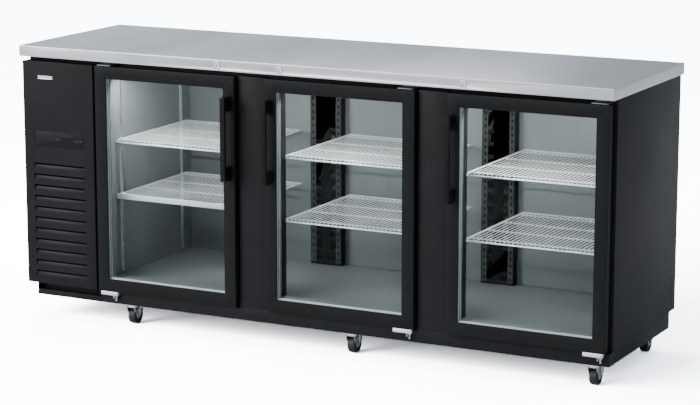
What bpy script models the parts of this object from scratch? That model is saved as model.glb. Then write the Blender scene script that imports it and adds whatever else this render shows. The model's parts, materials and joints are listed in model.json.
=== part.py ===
"""Three-door under counter back bar fridge: steel worktop, side machine compartment, glass doors, casters.

Metres, +Z up. The origin is on the floor, under the middle of the fridge's bounding box. The doors face -Y.
"""

import math

import bmesh
import bpy
from mathutils import Matrix, Vector

# Overall sizes
worktop_width = 2.296
worktop_depth = 0.673
worktop_thickness = 0.0387
overall_height = 1.000
fit_gap = 0.0003  # left between pieces that touch
cut_over = 0.010  # how far a cutter reaches past what it cuts

# Front layout, from left to right and from the bottom up
cabinet_left_inset = 0.023
cabinet_right_inset = 0.001
grille_width = 0.299
grille_gap = 0.009
post_width = 0.106
right_door_gap = 0.011
bottom_rail_height = 0.048
door_top_gap = 0.0143
door_count = 3
hinge_on_left = (True, False, False)

# Depths
door_proud = 0.0114
handle_projection = 0.047
post_setback = 0.020
rear_overhang = 0.0316
base_step_depth = 0.055
base_step_height = 0.057

# Cabinet shell
side_wall = 0.052
rear_wall = 0.050
divider_wall = 0.050
floor_thickness = 0.091
post_flange_depth = 0.045
duct_depth = 0.030
duct_width = 0.130
duct_rows = 16
duct_slot_width = 0.026
duct_slot_gap = 0.016
sheet = 0.002
flange_depth = 0.020

# Doors
stile_width = 0.045
top_band = 0.044
bottom_band = 0.047
frame_lip = 0.004
glass_rebate = 0.010
glass_depth = 0.024
glass_retainer = 0.010
gasket_width = 0.018
gasket_thickness = 0.010
gasket_free = 0.0005
seal_margin = 0.002
pivot_inset = 0.012
pivot_setback = 0.012
swing_clearance = 0.0015
pin_radius = 0.004
pin_reach = 0.015
running_clearance = 0.0006
handle_width = 0.0195
handle_length = 0.294
handle_grip = 0.010
handle_foot = 0.049
handle_edge_inset = 0.0115
handle_drop = 0.070

# Hinge brackets
bracket_length = 0.072
bracket_height = 0.014
bracket_clearance = 0.001
bracket_setback = 0.003
adjuster_radius = 0.0065
adjuster_length = 0.020
adjuster_inset = 0.011
adjuster_rail_gap = 0.0015
top_plate_length = 0.060
top_plate = 0.003
top_plate_clearance = 0.002
top_plate_flange = 0.008

# Locks, one above each door
lock_insets = (0.074, 0.053, 0.053)
lock_drop = 0.0215
lock_radius = 0.0085
lock_depth = 0.0165
cam_engagement = 0.0055
cam_width = 0.010
cam_thickness = 0.003
cam_clearance = 0.0015
plug_proud = 0.001
keyway = (0.001, 0.0045, 0.004)  # half width, half height and depth

# Shelves, with their tops measured from the inner floor
shelf_rises = ((0.303, 0.503), (0.278, 0.503), (0.278, 0.503))  # lower and upper, by section
shelf_thickness = 0.006
shelf_front_setback = 0.030
shelf_side_gap = 0.004
shelf_rear_gap = 0.006
shelf_bar = 0.008
shelf_columns = 6
shelf_rows = 3

# Machine compartment
base_inset = 0.045
base_lip = 0.016
louvre_count = 11
louvre_pitch = 0.040
louvre_height = 0.007
louvre_inset = 0.040
louvre_lowest = 0.0455
window_width = 0.215
window_height = 0.056
window_rise = 0.0595  # above the highest louvre
window_inset = 0.044
bezel_flange = 0.005
vent_count = 8
vent_pitch = 0.030
vent_margin = 0.035
vent_rise = 0.080
controller_body_width = 0.075
controller_body_inset = 0.020
controller_body_depth = 0.035
coil_width = 0.200
coil_depth = 0.050
condenser_height = 0.250
evaporator_height = 0.230
condenser_setback = 0.050
condenser_offset = 0.010
evaporator_setback = 0.200
evaporator_drop = 0.030
fin_count = 9
fin_gap = 0.006
fin_depth = 0.020
fin_border = 0.012
motor_radius = 0.028
motor_length = 0.040
motor_gap = 0.050
motor_arm = 0.008  # half the width of an arm
beam_inset = 0.010
arm_root = 0.005
shaft_gap = 0.016
fan_gap = 0.025
fan_tip_gap = 0.014
condenser_reach = 0.098
evaporator_reach = 0.096
hub_radius = 0.020
hub_half = 0.011
blade_count = 5
blade_angle = 28
blade_size = (0.034, 0.002)
blade_root = 0.006
compressor_radius = 0.078
compressor_plate = 0.010
compressor_offset = 0.014
compressor_rear = 0.105
compressor_profile = [  # radius and height, from the foot to the crown
    (0.0, 0.005), (0.060, 0.005), (0.074, 0.025), (0.074, 0.090), (0.076, 0.092),
    (0.076, 0.098), (0.072, 0.100), (0.070, 0.150), (0.056, 0.176), (0.030, 0.190), (0.0, 0.194),
]

# Casters
wheel_radius = 0.030
wheel_width = 0.022
wheel_headroom = 0.0042
caster_trail = 0.016
pad_thickness = 0.003
pad_width = 0.052
pad_depth = 0.066
king_pin_radius = 0.005
king_pin_reach = 0.012
swivel_radius = 0.021
swivel_height = 0.009
fork_plate = 0.0025
fork_clearance = 0.0015
axle_radius = 0.004
axle_proud = 0.002
king_pin_gap = 0.002
leg_foot = (0.009, 0.006, 0.010)  # half width, shoulder drop and tip drop from the axle
tyre_shoulder = 0.003
caster_left_inset = 0.108
caster_right_inset = 0.068
caster_rear_inset = 0.119
pad_boss_radius = 0.009
pad_boss_margin = 0.002

rail_top_gap = 0.004
round_sides = 20
turned_sides = 28

# Sizes and planes worked out from the sizes above
caster_height = (
    2 * wheel_radius + wheel_headroom + fork_plate + swivel_height + fit_gap + pad_thickness
)
post_gap = math.hypot(pivot_inset, pivot_setback) - pivot_inset + swing_clearance
frame_depth = frame_lip + glass_depth + glass_retainer
gasket_inset = pivot_inset
seal_band = gasket_inset + gasket_width + seal_margin
seal_setback = frame_depth + gasket_thickness
cam_length = worktop_thickness - lock_drop + door_top_gap + cam_engagement
strike_depth = cam_engagement + 2 * cam_clearance
total_depth = worktop_depth + door_proud + handle_projection
handle_front = -total_depth / 2
door_front = handle_front + handle_projection
frame_back = door_front + frame_depth
worktop_front = door_front + door_proud
worktop_back = total_depth / 2
post_front = door_front + post_setback
seal_plane = door_front + seal_setback
cabinet_back = worktop_back - rear_overhang
base_back = cabinet_back - base_step_depth
rear_liner = cabinet_back - rear_wall
worktop_left = -worktop_width / 2
worktop_right = worktop_width / 2
cabinet_left = worktop_left + cabinet_left_inset
cabinet_right = worktop_right - cabinet_right_inset
grille_right = cabinet_left + grille_width
first_door = grille_right + grille_gap
doors_span = worktop_right - right_door_gap - first_door
door_spacing = post_width + 2 * post_gap
door_width = (doors_span - (door_count - 1) * door_spacing) / door_count
door_pitch = door_width + door_spacing
post_flange_width = door_spacing + 2 * seal_band + 2 * seal_margin
liner_left = first_door + seal_band
divider_left = liner_left - divider_wall
liner_right = cabinet_right - side_wall
worktop_bottom = overall_height - worktop_thickness
cabinet_top = worktop_bottom - fit_gap
door_bottom = caster_height + bottom_rail_height
door_top = worktop_bottom - door_top_gap
ceiling_bottom = door_top - seal_band
floor_top = caster_height + floor_thickness
shelf_heights = [[floor_top + rise for rise in rises] for rises in shelf_rises]
step_top = caster_height + base_step_height
pad_bottom = caster_height - pad_thickness
post_centres = [
    first_door + (index + 1) * door_pitch - door_spacing / 2
    for index in range(door_count - 1)
]


def clear_scene():
    for old in list(bpy.data.objects):
        bpy.data.objects.remove(old, do_unlink=True)


def finish(name, colour, roughness, metallic=0.0, alpha=1.0):
    material = bpy.data.materials.new(name)
    material.use_nodes = True
    shader = material.node_tree.nodes["Principled BSDF"]
    shader.inputs["Base Color"].default_value = (*colour, 1.0)
    shader.inputs["Roughness"].default_value = roughness
    shader.inputs["Metallic"].default_value = metallic
    shader.inputs["Alpha"].default_value = alpha
    return material


def add_mesh(name, shape, material, location=(0, 0, 0)):
    """Makes an object of a bmesh whose points are relative to the location."""
    bmesh.ops.recalc_face_normals(shape, faces=shape.faces)
    mesh = bpy.data.meshes.new(name)
    shape.to_mesh(mesh)
    shape.free()
    obj = bpy.data.objects.new(name, mesh)
    obj.location = location
    if material:
        mesh.materials.append(material)
    bpy.context.scene.collection.objects.link(obj)
    return obj


def box(name, low, high, material=None):
    low, high = Vector(low), Vector(high)
    shape = bmesh.new()
    bmesh.ops.create_cube(shape, size=1.0)
    bmesh.ops.scale(shape, vec=high - low, verts=shape.verts)
    return add_mesh(name, shape, material, (low + high) / 2)


def turn_to(axis):
    """The rotation that takes +Z to this axis."""
    return Vector((0, 0, 1)).rotation_difference(Vector(axis)).to_matrix()


def rod(name, start, end, radius, material=None, sides=round_sides):
    """A cylinder between two points."""
    start, end = Vector(start), Vector(end)
    shape = bmesh.new()
    bmesh.ops.create_cone(
        shape,
        cap_ends=True,
        segments=sides,
        radius1=radius,
        radius2=radius,
        depth=(end - start).length,
    )
    bmesh.ops.rotate(shape, cent=(0, 0, 0), matrix=turn_to(end - start), verts=shape.verts)
    return add_mesh(name, shape, material, (start + end) / 2)


def lathe(name, profile, centre, axis, material=None, sides=turned_sides):
    """Turns a closed outline of (radius, height) points around an axis through the centre."""
    shape = bmesh.new()
    points = [shape.verts.new((radius, 0, height)) for radius, height in profile]
    edges = [
        shape.edges.new((points[index], points[(index + 1) % len(points)]))
        for index in range(len(points))
    ]
    bmesh.ops.spin(
        shape,
        geom=points + edges,
        cent=(0, 0, 0),
        axis=(0, 0, 1),
        angle=2 * math.pi,
        steps=sides,
        use_merge=True,
    )
    bmesh.ops.remove_doubles(shape, verts=shape.verts, dist=1e-6)
    bmesh.ops.rotate(shape, cent=(0, 0, 0), matrix=turn_to(axis), verts=shape.verts)
    return add_mesh(name, shape, material, centre)


def prism(name, outline, axis, start, end, material=None):
    """Extrudes an outline along X (points are y, z), Y (x, z) or Z (x, y)."""
    place = {
        "X": lambda a, b: (start, a, b),
        "Y": lambda a, b: (a, start, b),
        "Z": lambda a, b: (a, b, start),
    }[axis]
    shape = bmesh.new()
    face = shape.faces.new([shape.verts.new(place(a, b)) for a, b in outline])
    run = bmesh.ops.extrude_face_region(shape, geom=[face])["geom"]
    step = Vector([end - start if letter == axis else 0 for letter in "XYZ"])
    moved = [item for item in run if isinstance(item, bmesh.types.BMVert)]
    bmesh.ops.translate(shape, vec=step, verts=moved)
    return add_mesh(name, shape, material)


def combine(obj, tool, operation):
    """Joins a helper solid to an object, or cuts it out, and hides the helper."""
    tool.hide_render = True
    tool.display_type = "WIRE"
    tool.hide_set(True)
    change = obj.modifiers.new(tool.name, "BOOLEAN")
    change.operation = operation
    change.solver = "EXACT"
    change.object = tool
    return obj


def cut(obj, *tools):
    for tool in tools:
        combine(obj, tool, "DIFFERENCE")
    return obj


def unite(obj, *tools):
    for tool in tools:
        combine(obj, tool, "UNION")
    return obj


def boxes(name, spans):
    """One helper made of separate boxes, each given as its low and high corner."""
    shape = bmesh.new()
    for low, high in spans:
        low, high = Vector(low), Vector(high)
        made = bmesh.ops.create_cube(shape, size=1.0)["verts"]
        bmesh.ops.scale(shape, vec=high - low, verts=made)
        bmesh.ops.translate(shape, vec=(low + high) / 2, verts=made)
    return add_mesh(name, shape, None)


def soften(obj, degrees=40):
    """Shades a round piece smooth, with its corners kept sharp."""
    mesh = obj.data
    mesh.shade_smooth()
    mesh.set_sharp_from_angle(angle=math.radians(degrees))
    return obj


def axis_empty(name, location, parent=None):
    empty = bpy.data.objects.new(name, None)
    empty.empty_display_size = 0.03
    bpy.context.scene.collection.objects.link(empty)
    place_under(empty, parent, location)
    return empty


def world_place(obj):
    place = Vector(obj.location)
    while obj.parent:
        obj = obj.parent
        place += obj.location
    return place


def place_under(obj, parent, location=None):
    """Parents an unturned object, keeping the place it has in the world."""
    place = Vector(obj.location if location is None else location)
    if parent:
        obj.parent = parent
        place -= world_place(parent)
    obj.location = place


def make_finishes():
    return {
        "steel": finish("satin_stainless", (0.62, 0.63, 0.64), 0.32, 1.0),
        "black": finish("black_painted_steel", (0.018, 0.019, 0.022), 0.38),
        "frame": finish("black_door_frame", (0.022, 0.023, 0.026), 0.42),
        "liner": finish("interior_liner", (0.46, 0.48, 0.50), 0.35, 0.6),
        "glass": finish("door_glass", (0.75, 0.80, 0.80), 0.03, 0.0, 0.25),
        "rubber": finish("gasket_rubber", (0.02, 0.02, 0.02), 0.75),
        "zinc": finish("zinc_plated_steel", (0.70, 0.71, 0.72), 0.25, 1.0),
        "white": finish("white_coated_wire", (0.80, 0.81, 0.82), 0.40),
        "tyre": finish("wheel_rubber", (0.05, 0.05, 0.05), 0.60),
        "duct": finish("dark_duct", (0.06, 0.06, 0.065), 0.50),
        "copper": finish("coil_metal", (0.55, 0.56, 0.57), 0.40, 1.0),
        "plastic": finish("black_plastic", (0.03, 0.03, 0.032), 0.45),
    }


def door_left(index):
    return first_door + index * door_pitch


def lock_place(index):
    """The lock's x, measured from the edge of the door that its handle is on."""
    if hinge_on_left[index]:
        return door_left(index) + door_width - lock_insets[index]
    return door_left(index) + lock_insets[index]


def lock_height():
    return overall_height - lock_drop


def cam_span():
    """The depth range that a lock's cam turns in."""
    start = worktop_front + lock_depth - cam_clearance - cam_thickness
    return start, start + cam_thickness


def pivot_place(index):
    if hinge_on_left[index]:
        return door_left(index) + pivot_inset
    return door_left(index) + door_width - pivot_inset


def caster_columns():
    left = first_door + caster_left_inset
    right = worktop_right - caster_right_inset
    return left, (left + right) / 2, right


def caster_rows():
    front = seal_plane + pad_boss_radius + pad_boss_margin
    return front, cabinet_back - caster_rear_inset


def caster_places():
    return [(x, y) for y in caster_rows() for x in caster_columns()]


def make_worktop(look):
    worktop = box(
        "countertop",
        (worktop_left, worktop_front, worktop_bottom),
        (worktop_right, worktop_back, overall_height),
        look["steel"],
    )
    cam_start, cam_end = cam_span()
    for index in range(door_count):
        x, z = lock_place(index), lock_height()
        bore = rod(
            f"lock_bore_{index + 1}",
            (x, worktop_front - cut_over, z),
            (x, worktop_front + lock_depth, z),
            lock_radius + fit_gap,
        )
        pocket = box(
            f"cam_pocket_{index + 1}",
            (x - cam_width, cam_start - cam_clearance, worktop_bottom - cut_over),
            (x + cam_length + cam_clearance, cam_end + cam_clearance, z + cam_width),
        )
        cut(worktop, bore, pocket)
    return worktop


def make_shell(look):
    """The foamed cabinet: ceiling, floor, back, right side and the wall to the machine compartment."""
    box(
        "ceiling_panel",
        (cabinet_left, seal_plane, ceiling_bottom),
        (liner_right - fit_gap, cabinet_back, cabinet_top),
        look["black"],
    )
    side_outline = [
        (seal_plane, caster_height),
        (base_back, caster_height),
        (base_back, step_top),
        (cabinet_back, step_top),
        (cabinet_back, cabinet_top),
        (seal_plane, cabinet_top),
    ]
    prism("right_wall", side_outline, "X", liner_right, cabinet_right, look["black"])
    box(
        "back_wall",
        (divider_left, rear_liner, floor_top + fit_gap),
        (liner_right - fit_gap, cabinet_back, ceiling_bottom - fit_gap),
        look["liner"],
    )
    box(
        "divider_wall",
        (divider_left, seal_plane, floor_top + fit_gap),
        (liner_left, rear_liner - fit_gap, ceiling_bottom - fit_gap),
        look["liner"],
    )
    make_floor(look)


def make_floor(look):
    """The floor carries a pad for each caster, with a hole for the caster's king pin."""
    outline = [
        (seal_plane, caster_height),
        (base_back, caster_height),
        (base_back, step_top),
        (cabinet_back, step_top),
        (cabinet_back, floor_top),
        (seal_plane, floor_top),
    ]
    floor = prism(
        "floor_panel", outline, "X", divider_left, liner_right - fit_gap, look["liner"]
    )
    for number, (x, y) in enumerate(caster_places(), 1):
        pad = box(
            f"caster_pad_{number}",
            (x - pad_width / 2, y - pad_depth / 2, pad_bottom),
            (x + pad_width / 2, y + pad_depth / 2, caster_height - fit_gap),
        )
        boss = rod(
            f"pad_boss_{number}",
            (x, y, pad_bottom),
            (x, y, caster_height + pad_thickness),
            pad_boss_radius,
            sides=12,
        )
        hole = rod(
            f"king_pin_hole_{number}",
            (x, y, pad_bottom - cut_over),
            (x, y, caster_height + king_pin_reach),
            king_pin_radius + running_clearance,
            sides=12,
        )
        unite(floor, pad, boss)
        cut(floor, hole)


def make_front(look):
    """The posts between the doors and the rail below them."""
    rail_top = door_bottom - rail_top_gap
    for side, centre in zip(("left", "right"), post_centres):
        cover, flange = post_width / 2, post_flange_width / 2
        low, high = floor_top + fit_gap, ceiling_bottom - fit_gap
        post = box(
            f"post_{side}",
            (centre - cover, post_front, rail_top + fit_gap),
            (centre + cover, seal_plane - fit_gap, door_top),
            look["black"],
        )
        neck = box(
            f"post_neck_{side}",
            (centre - cover, post_front + sheet, low),
            (centre + cover, seal_plane + post_flange_depth, high),
        )
        wings = box(
            f"post_flange_{side}",
            (centre - flange, seal_plane + fit_gap, low),
            (centre + flange, seal_plane + post_flange_depth, high),
        )
        unite(post, neck, wings)
    box(
        "bottom_rail",
        (first_door, post_front, caster_height),
        (cabinet_right, seal_plane - fit_gap, rail_top),
        look["black"],
    )


def make_ducts(look):
    """Slotted air channels on the back wall, behind the posts."""
    front = rear_liner - fit_gap - duct_depth
    bottom, top = floor_top + 2 * fit_gap, ceiling_bottom - 2 * fit_gap
    pitch = (top - bottom - duct_slot_gap) / duct_rows
    slot_half = duct_slot_width / 2
    for side, centre in zip(("left", "right"), post_centres):
        half = duct_width / 2
        back = rear_liner - fit_gap
        outline = [
            (centre - half, front),
            (centre + half, front),
            (centre + half, back),
            (centre + half - sheet, back),
            (centre + half - sheet, front + sheet),
            (centre - half + sheet, front + sheet),
            (centre - half + sheet, back),
            (centre - half, back),
        ]
        duct = prism(f"air_duct_{side}", outline, "Z", bottom, top, look["duct"])
        slots = [
            (
                (x - slot_half, front - cut_over, bottom + duct_slot_gap + row * pitch),
                (x + slot_half, front + cut_over, bottom + (row + 1) * pitch),
            )
            for x in (centre - half / 2, centre + half / 2)
            for row in range(duct_rows)
        ]
        cut(duct, boxes(f"duct_slots_{side}", slots))


def shelf_span(index):
    """The x range of the section behind a door, between the walls and the post flanges."""
    left = liner_left if index == 0 else post_centres[index - 1] + post_flange_width / 2
    last = index == door_count - 1
    right = liner_right if last else post_centres[index] - post_flange_width / 2
    return left + shelf_side_gap, right - shelf_side_gap


def make_shelves(look):
    front = seal_plane + shelf_front_setback
    back = rear_liner - duct_depth - shelf_rear_gap
    depth_pitch = (back - front - shelf_bar) / shelf_rows
    for index in range(door_count):
        left, right = shelf_span(index)
        pitch = (right - left - shelf_bar) / shelf_columns
        for level, top in zip(("lower", "upper"), shelf_heights[index]):
            name = f"shelf_{index + 1}_{level}"
            shelf = box(
                name,
                (left, front, top - shelf_thickness),
                (right, back, top),
                look["white"],
            )
            gaps = [
                (
                    (
                        left + shelf_bar + column * pitch,
                        front + shelf_bar + row * depth_pitch,
                        top - shelf_thickness - cut_over,
                    ),
                    (
                        left + (column + 1) * pitch,
                        front + (row + 1) * depth_pitch,
                        top + cut_over,
                    ),
                )
                for column in range(shelf_columns)
                for row in range(shelf_rows)
            ]
            cut(shelf, boxes(f"{name}_gaps", gaps))


def make_door_frame(index, left, right, look):
    frame = box(
        f"door_frame_{index + 1}",
        (left, door_front, door_bottom),
        (right, frame_back, door_top),
        look["frame"],
    )
    sight = box(
        f"sight_opening_{index + 1}",
        (left + stile_width, door_front - cut_over, door_bottom + bottom_band),
        (right - stile_width, frame_back + cut_over, door_top - top_band),
    )
    rebate = box(
        f"glass_rebate_{index + 1}",
        (
            left + stile_width - glass_rebate,
            door_front + frame_lip,
            door_bottom + bottom_band - glass_rebate,
        ),
        (
            right - stile_width + glass_rebate,
            frame_back + cut_over,
            door_top - top_band + glass_rebate,
        ),
    )
    x, y = pivot_place(index), door_front + pivot_setback
    reach, radius = pin_reach + 2 * running_clearance, pin_radius + running_clearance
    lower = rod(
        f"lower_pivot_{index + 1}",
        (x, y, door_bottom - cut_over),
        (x, y, door_bottom + reach),
        radius,
    )
    upper = rod(
        f"upper_pivot_{index + 1}",
        (x, y, door_top - reach),
        (x, y, door_top + cut_over),
        radius,
    )
    return cut(frame, sight, rebate, lower, upper, make_strike_slot(index))


def make_strike_slot(index):
    """The slot in the top of the door that the lock's cam turns down into."""
    cam_start, cam_end = cam_span()
    x = lock_place(index)
    return box(
        f"strike_slot_{index + 1}",
        (x - cam_width, cam_start - cam_clearance, door_top - strike_depth),
        (x + cam_length, cam_end + cam_clearance, door_top + cut_over),
    )


def make_glass(index, left, right, look):
    """The sealed double pane, held in the frame's rebate."""
    inset = stile_width - glass_rebate + fit_gap
    front = door_front + frame_lip + fit_gap
    return box(
        f"door_glass_{index + 1}",
        (left + inset, front, door_bottom + bottom_band - glass_rebate + fit_gap),
        (
            right - inset,
            front + glass_depth,
            door_top - top_band + glass_rebate - fit_gap,
        ),
        look["glass"],
    )


def make_gasket(index, left, right, look):
    front, back = frame_back + fit_gap, seal_plane - gasket_free
    inner = gasket_inset + gasket_width
    gasket = box(
        f"door_gasket_{index + 1}",
        (left + gasket_inset, front, door_bottom + gasket_inset),
        (right - gasket_inset, back, door_top - gasket_inset),
        look["rubber"],
    )
    hollow = box(
        f"gasket_hollow_{index + 1}",
        (left + inner, front - cut_over, door_bottom + inner),
        (right - inner, back + cut_over, door_top - inner),
    )
    return cut(gasket, hollow)


def make_handle(index, left, right, look):
    """A pull handle: a flat grip that stands off the door on two feet."""
    top = door_top - handle_drop
    bottom = top - handle_length
    foot = door_front - fit_gap
    grip_back = handle_front + handle_grip
    outline = [
        (foot, top),
        (handle_front, top),
        (handle_front, bottom),
        (foot, bottom),
        (foot, bottom + handle_foot),
        (grip_back, bottom + handle_foot),
        (grip_back, top - handle_foot),
        (foot, top - handle_foot),
    ]
    if hinge_on_left[index]:
        start = right - handle_edge_inset - handle_width
    else:
        start = left + handle_edge_inset
    name = f"door_handle_{index + 1}"
    return prism(name, outline, "X", start, start + handle_width, look["plastic"])


def make_doors(look):
    for index in range(door_count):
        left = door_left(index)
        right = left + door_width
        pivot = (pivot_place(index), door_front + pivot_setback, door_bottom)
        hinge = axis_empty(f"door_{index + 1}_hinge_axis", pivot)
        for make in (make_door_frame, make_glass, make_gasket, make_handle):
            place_under(make(index, left, right, look), hinge)


def make_hinge_brackets(look):
    for index in range(door_count):
        x, y = pivot_place(index), door_front + pivot_setback
        if hinge_on_left[index]:
            left = x - pin_radius - bracket_clearance
        else:
            left = x + pin_radius + bracket_clearance - bracket_length
        make_lower_bracket(index, left, x, y, look)
        if not hinge_on_left[index]:
            left += bracket_length - top_plate_length
        make_upper_bracket(index, left, x, y, look)


def make_lower_bracket(index, left, x, y, look):
    """A bar on the bottom rail, with the door's lower pin and the screw that levels it."""
    top = door_bottom - bracket_clearance
    bottom = top - bracket_height
    bracket = box(
        f"bottom_hinge_{index + 1}",
        (left, door_front + bracket_setback, bottom),
        (left + bracket_length, post_front - fit_gap, top),
        look["zinc"],
    )
    pin = rod(
        f"lower_pin_{index + 1}",
        (x, y, top - bracket_height / 2),
        (x, y, door_bottom + pin_reach),
        pin_radius,
    )
    screw_x = left + bracket_length - adjuster_inset
    screw_y = post_front - adjuster_radius - adjuster_rail_gap
    screw = rod(
        f"adjuster_{index + 1}",
        (screw_x, screw_y, bottom - adjuster_length),
        (screw_x, screw_y, bottom + bracket_height / 3),
        adjuster_radius,
    )
    return unite(bracket, pin, screw)


def make_upper_bracket(index, left, x, y, look):
    """An angle on the front edge of the ceiling, with the door's upper pin."""
    bottom = door_top + top_plate_clearance
    top = bottom + top_plate
    back = seal_plane - fit_gap
    bracket = box(
        f"top_hinge_{index + 1}",
        (left, door_front + bracket_setback, bottom),
        (left + top_plate_length, back, top),
        look["zinc"],
    )
    flange = box(
        f"top_hinge_flange_{index + 1}",
        (left, back - top_plate, bottom),
        (left + top_plate_length, back, bottom + top_plate_flange),
    )
    pin = rod(
        f"upper_pin_{index + 1}",
        (x, y, door_top - pin_reach),
        (x, y, bottom + top_plate / 2),
        pin_radius,
    )
    return unite(bracket, flange, pin)


def make_locks(look):
    cam_start, cam_end = cam_span()
    for index in range(door_count):
        x, z = lock_place(index), lock_height()
        axis = axis_empty(f"lock_{index + 1}_axis", (x, worktop_front, z))
        plug = rod(
            f"lock_plug_{index + 1}",
            (x, worktop_front - plug_proud, z),
            (x, worktop_front + lock_depth - fit_gap, z),
            lock_radius,
            look["zinc"],
        )
        cam = box(
            f"lock_cam_{index + 1}",
            (x - cam_width / 2, cam_start, z - cam_width / 2),
            (x + cam_length, cam_end, z + cam_width / 2),
        )
        slot = box(
            f"keyway_{index + 1}",
            (x - keyway[0], worktop_front - cut_over, z - keyway[1]),
            (x + keyway[0], worktop_front + keyway[2], z + keyway[1]),
        )
        unite(plug, cam)
        cut(plug, slot)
        place_under(soften(plug), axis)


def make_casters(look):
    for number, (x, y) in enumerate(caster_places(), 1):
        swivel = axis_empty(f"caster_{number}_swivel_axis", (x, y, pad_bottom))
        place_under(make_fork(number, x, y, look), swivel)
        axle_y = y + caster_trail
        axle = axis_empty(f"caster_{number}_axle", (x, axle_y, wheel_radius), swivel)
        place_under(make_wheel(number, x, axle_y, look), axle)


def make_fork(number, x, y, look):
    swivel_top = pad_bottom - fit_gap
    crown = swivel_top - swivel_height
    fork = rod(
        f"caster_fork_{number}",
        (x, y, crown),
        (x, y, swivel_top),
        swivel_radius,
        look["zinc"],
    )
    inner = wheel_width / 2 + fork_clearance
    outer, axle_y = inner + fork_plate, y + caster_trail
    foot, shoulder, tip = leg_foot
    plate = box(
        f"fork_crown_{number}",
        (x - outer, y - swivel_radius, crown - fork_plate),
        (x + outer, y + swivel_radius, crown + fork_plate),
    )
    outline = [
        (y - swivel_radius, crown),
        (y - swivel_radius, crown - fork_plate),
        (axle_y - foot, wheel_radius - shoulder),
        (axle_y, wheel_radius - tip),
        (axle_y + foot, wheel_radius - shoulder),
        (y + swivel_radius, crown - fork_plate),
        (y + swivel_radius, crown),
    ]
    legs = [
        prism(f"fork_leg_{number}_{side}", outline, "X", x + start, x + end)
        for side, start, end in (("a", -outer, -inner), ("b", inner, outer))
    ]
    king_pin = rod(
        f"king_pin_{number}",
        (x, y, crown + fork_plate),
        (x, y, caster_height + king_pin_reach - king_pin_gap),
        king_pin_radius,
        sides=12,
    )
    axle = rod(
        f"axle_{number}",
        (x - outer - axle_proud, axle_y, wheel_radius),
        (x + outer + axle_proud, axle_y, wheel_radius),
        axle_radius,
        sides=12,
    )
    return unite(soften(fork), plate, *legs, king_pin, axle)


def make_wheel(number, x, y, look):
    half, bore, shoulder = wheel_width / 2, axle_radius + running_clearance, tyre_shoulder
    profile = [
        (bore, -half),
        (wheel_radius - shoulder, -half),
        (wheel_radius, shoulder - half),
        (wheel_radius, half - shoulder),
        (wheel_radius - shoulder, half),
        (bore, half),
    ]
    centre = (x, y, wheel_radius)
    return soften(lathe(f"caster_wheel_{number}", profile, centre, (1, 0, 0), look["tyre"]))


def make_machine_base(look):
    """The recessed tray under the machine compartment, with a turned-up lip at the front."""
    left, right = cabinet_left + base_inset, divider_left - fit_gap
    shelf = door_bottom - fit_gap
    floor = caster_height + sheet
    outline = [
        (left, caster_height),
        (right, caster_height),
        (right, floor),
        (left + sheet, floor),
        (left + sheet, shelf),
        (cabinet_left, shelf),
        (cabinet_left, shelf - sheet),
        (left, shelf - sheet),
    ]
    tray = prism(
        "machine_base", outline, "Y", seal_plane, base_back, look["black"]
    )
    lip = box(
        "base_front_lip",
        (left, post_front, caster_height),
        (first_door - fit_gap, post_front + sheet, caster_height + base_lip),
    )
    apron = box(
        "base_apron",
        (left, post_front, caster_height),
        (right, seal_plane + sheet, floor),
    )
    corner = box(
        "base_apron_end",
        (right - sheet, post_front, caster_height),
        (first_door - fit_gap, seal_plane - fit_gap, floor),
    )
    return unite(tray, apron, corner, lip)


def make_machine_panels(look):
    side_back = cabinet_back
    outline = [
        (cabinet_left, seal_plane + fit_gap),
        (cabinet_left + flange_depth, seal_plane + fit_gap),
        (cabinet_left + flange_depth, seal_plane + fit_gap + sheet),
        (cabinet_left + sheet, seal_plane + fit_gap + sheet),
        (cabinet_left + sheet, side_back - sheet),
        (cabinet_left + flange_depth, side_back - sheet),
        (cabinet_left + flange_depth, side_back),
        (cabinet_left, side_back),
    ]
    top = ceiling_bottom - fit_gap
    prism("machine_side_panel", outline, "Z", door_bottom, top, look["black"])
    back = side_back - sheet - fit_gap
    left = cabinet_left + sheet + fit_gap
    right = divider_left - fit_gap
    rear = box(
        "rear_grille",
        (left, back - sheet, door_bottom + fit_gap),
        (right, back, top),
        look["black"],
    )
    cut(rear, make_vents(left, right, back))


def make_vents(left, right, back):
    lowest = door_bottom + vent_rise
    slots = [
        (
            (left + vent_margin, back - cut_over, lowest + row * vent_pitch),
            (right - vent_margin, back + cut_over, lowest + row * vent_pitch + louvre_height),
        )
        for row in range(vent_count)
    ]
    return boxes("rear_vents", slots)


def window_span():
    """The x and z range of the controller's window in the grille."""
    left = cabinet_left + window_inset
    highest_louvre = louvre_lowest + (louvre_count - 1) * louvre_pitch + louvre_height
    bottom = door_bottom + highest_louvre + window_rise
    return left, left + window_width, bottom, bottom + window_height


def make_grille(look):
    """The folded front panel, with louvres and the controller's window."""
    grille = box(
        "front_grille",
        (cabinet_left, door_front, door_bottom),
        (grille_right, seal_plane - fit_gap, door_top),
        look["black"],
    )
    hollow = box(
        "grille_hollow",
        (cabinet_left + sheet, door_front + sheet, door_bottom + sheet),
        (grille_right - sheet, seal_plane + cut_over, door_top - sheet),
    )
    slots = [
        (
            (
                cabinet_left + louvre_inset,
                door_front - cut_over,
                door_bottom + louvre_lowest + row * louvre_pitch,
            ),
            (
                grille_right - louvre_inset,
                door_front + cut_over,
                door_bottom + louvre_lowest + row * louvre_pitch + louvre_height,
            ),
        )
        for row in range(louvre_count)
    ]
    left, right, bottom, top = window_span()
    window = box(
        "controller_window",
        (left, door_front - cut_over, bottom),
        (right, door_front + cut_over, top),
    )
    cut(grille, hollow, boxes("louvre_slots", slots), window)
    make_controller(left, right, bottom, top, look)


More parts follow.
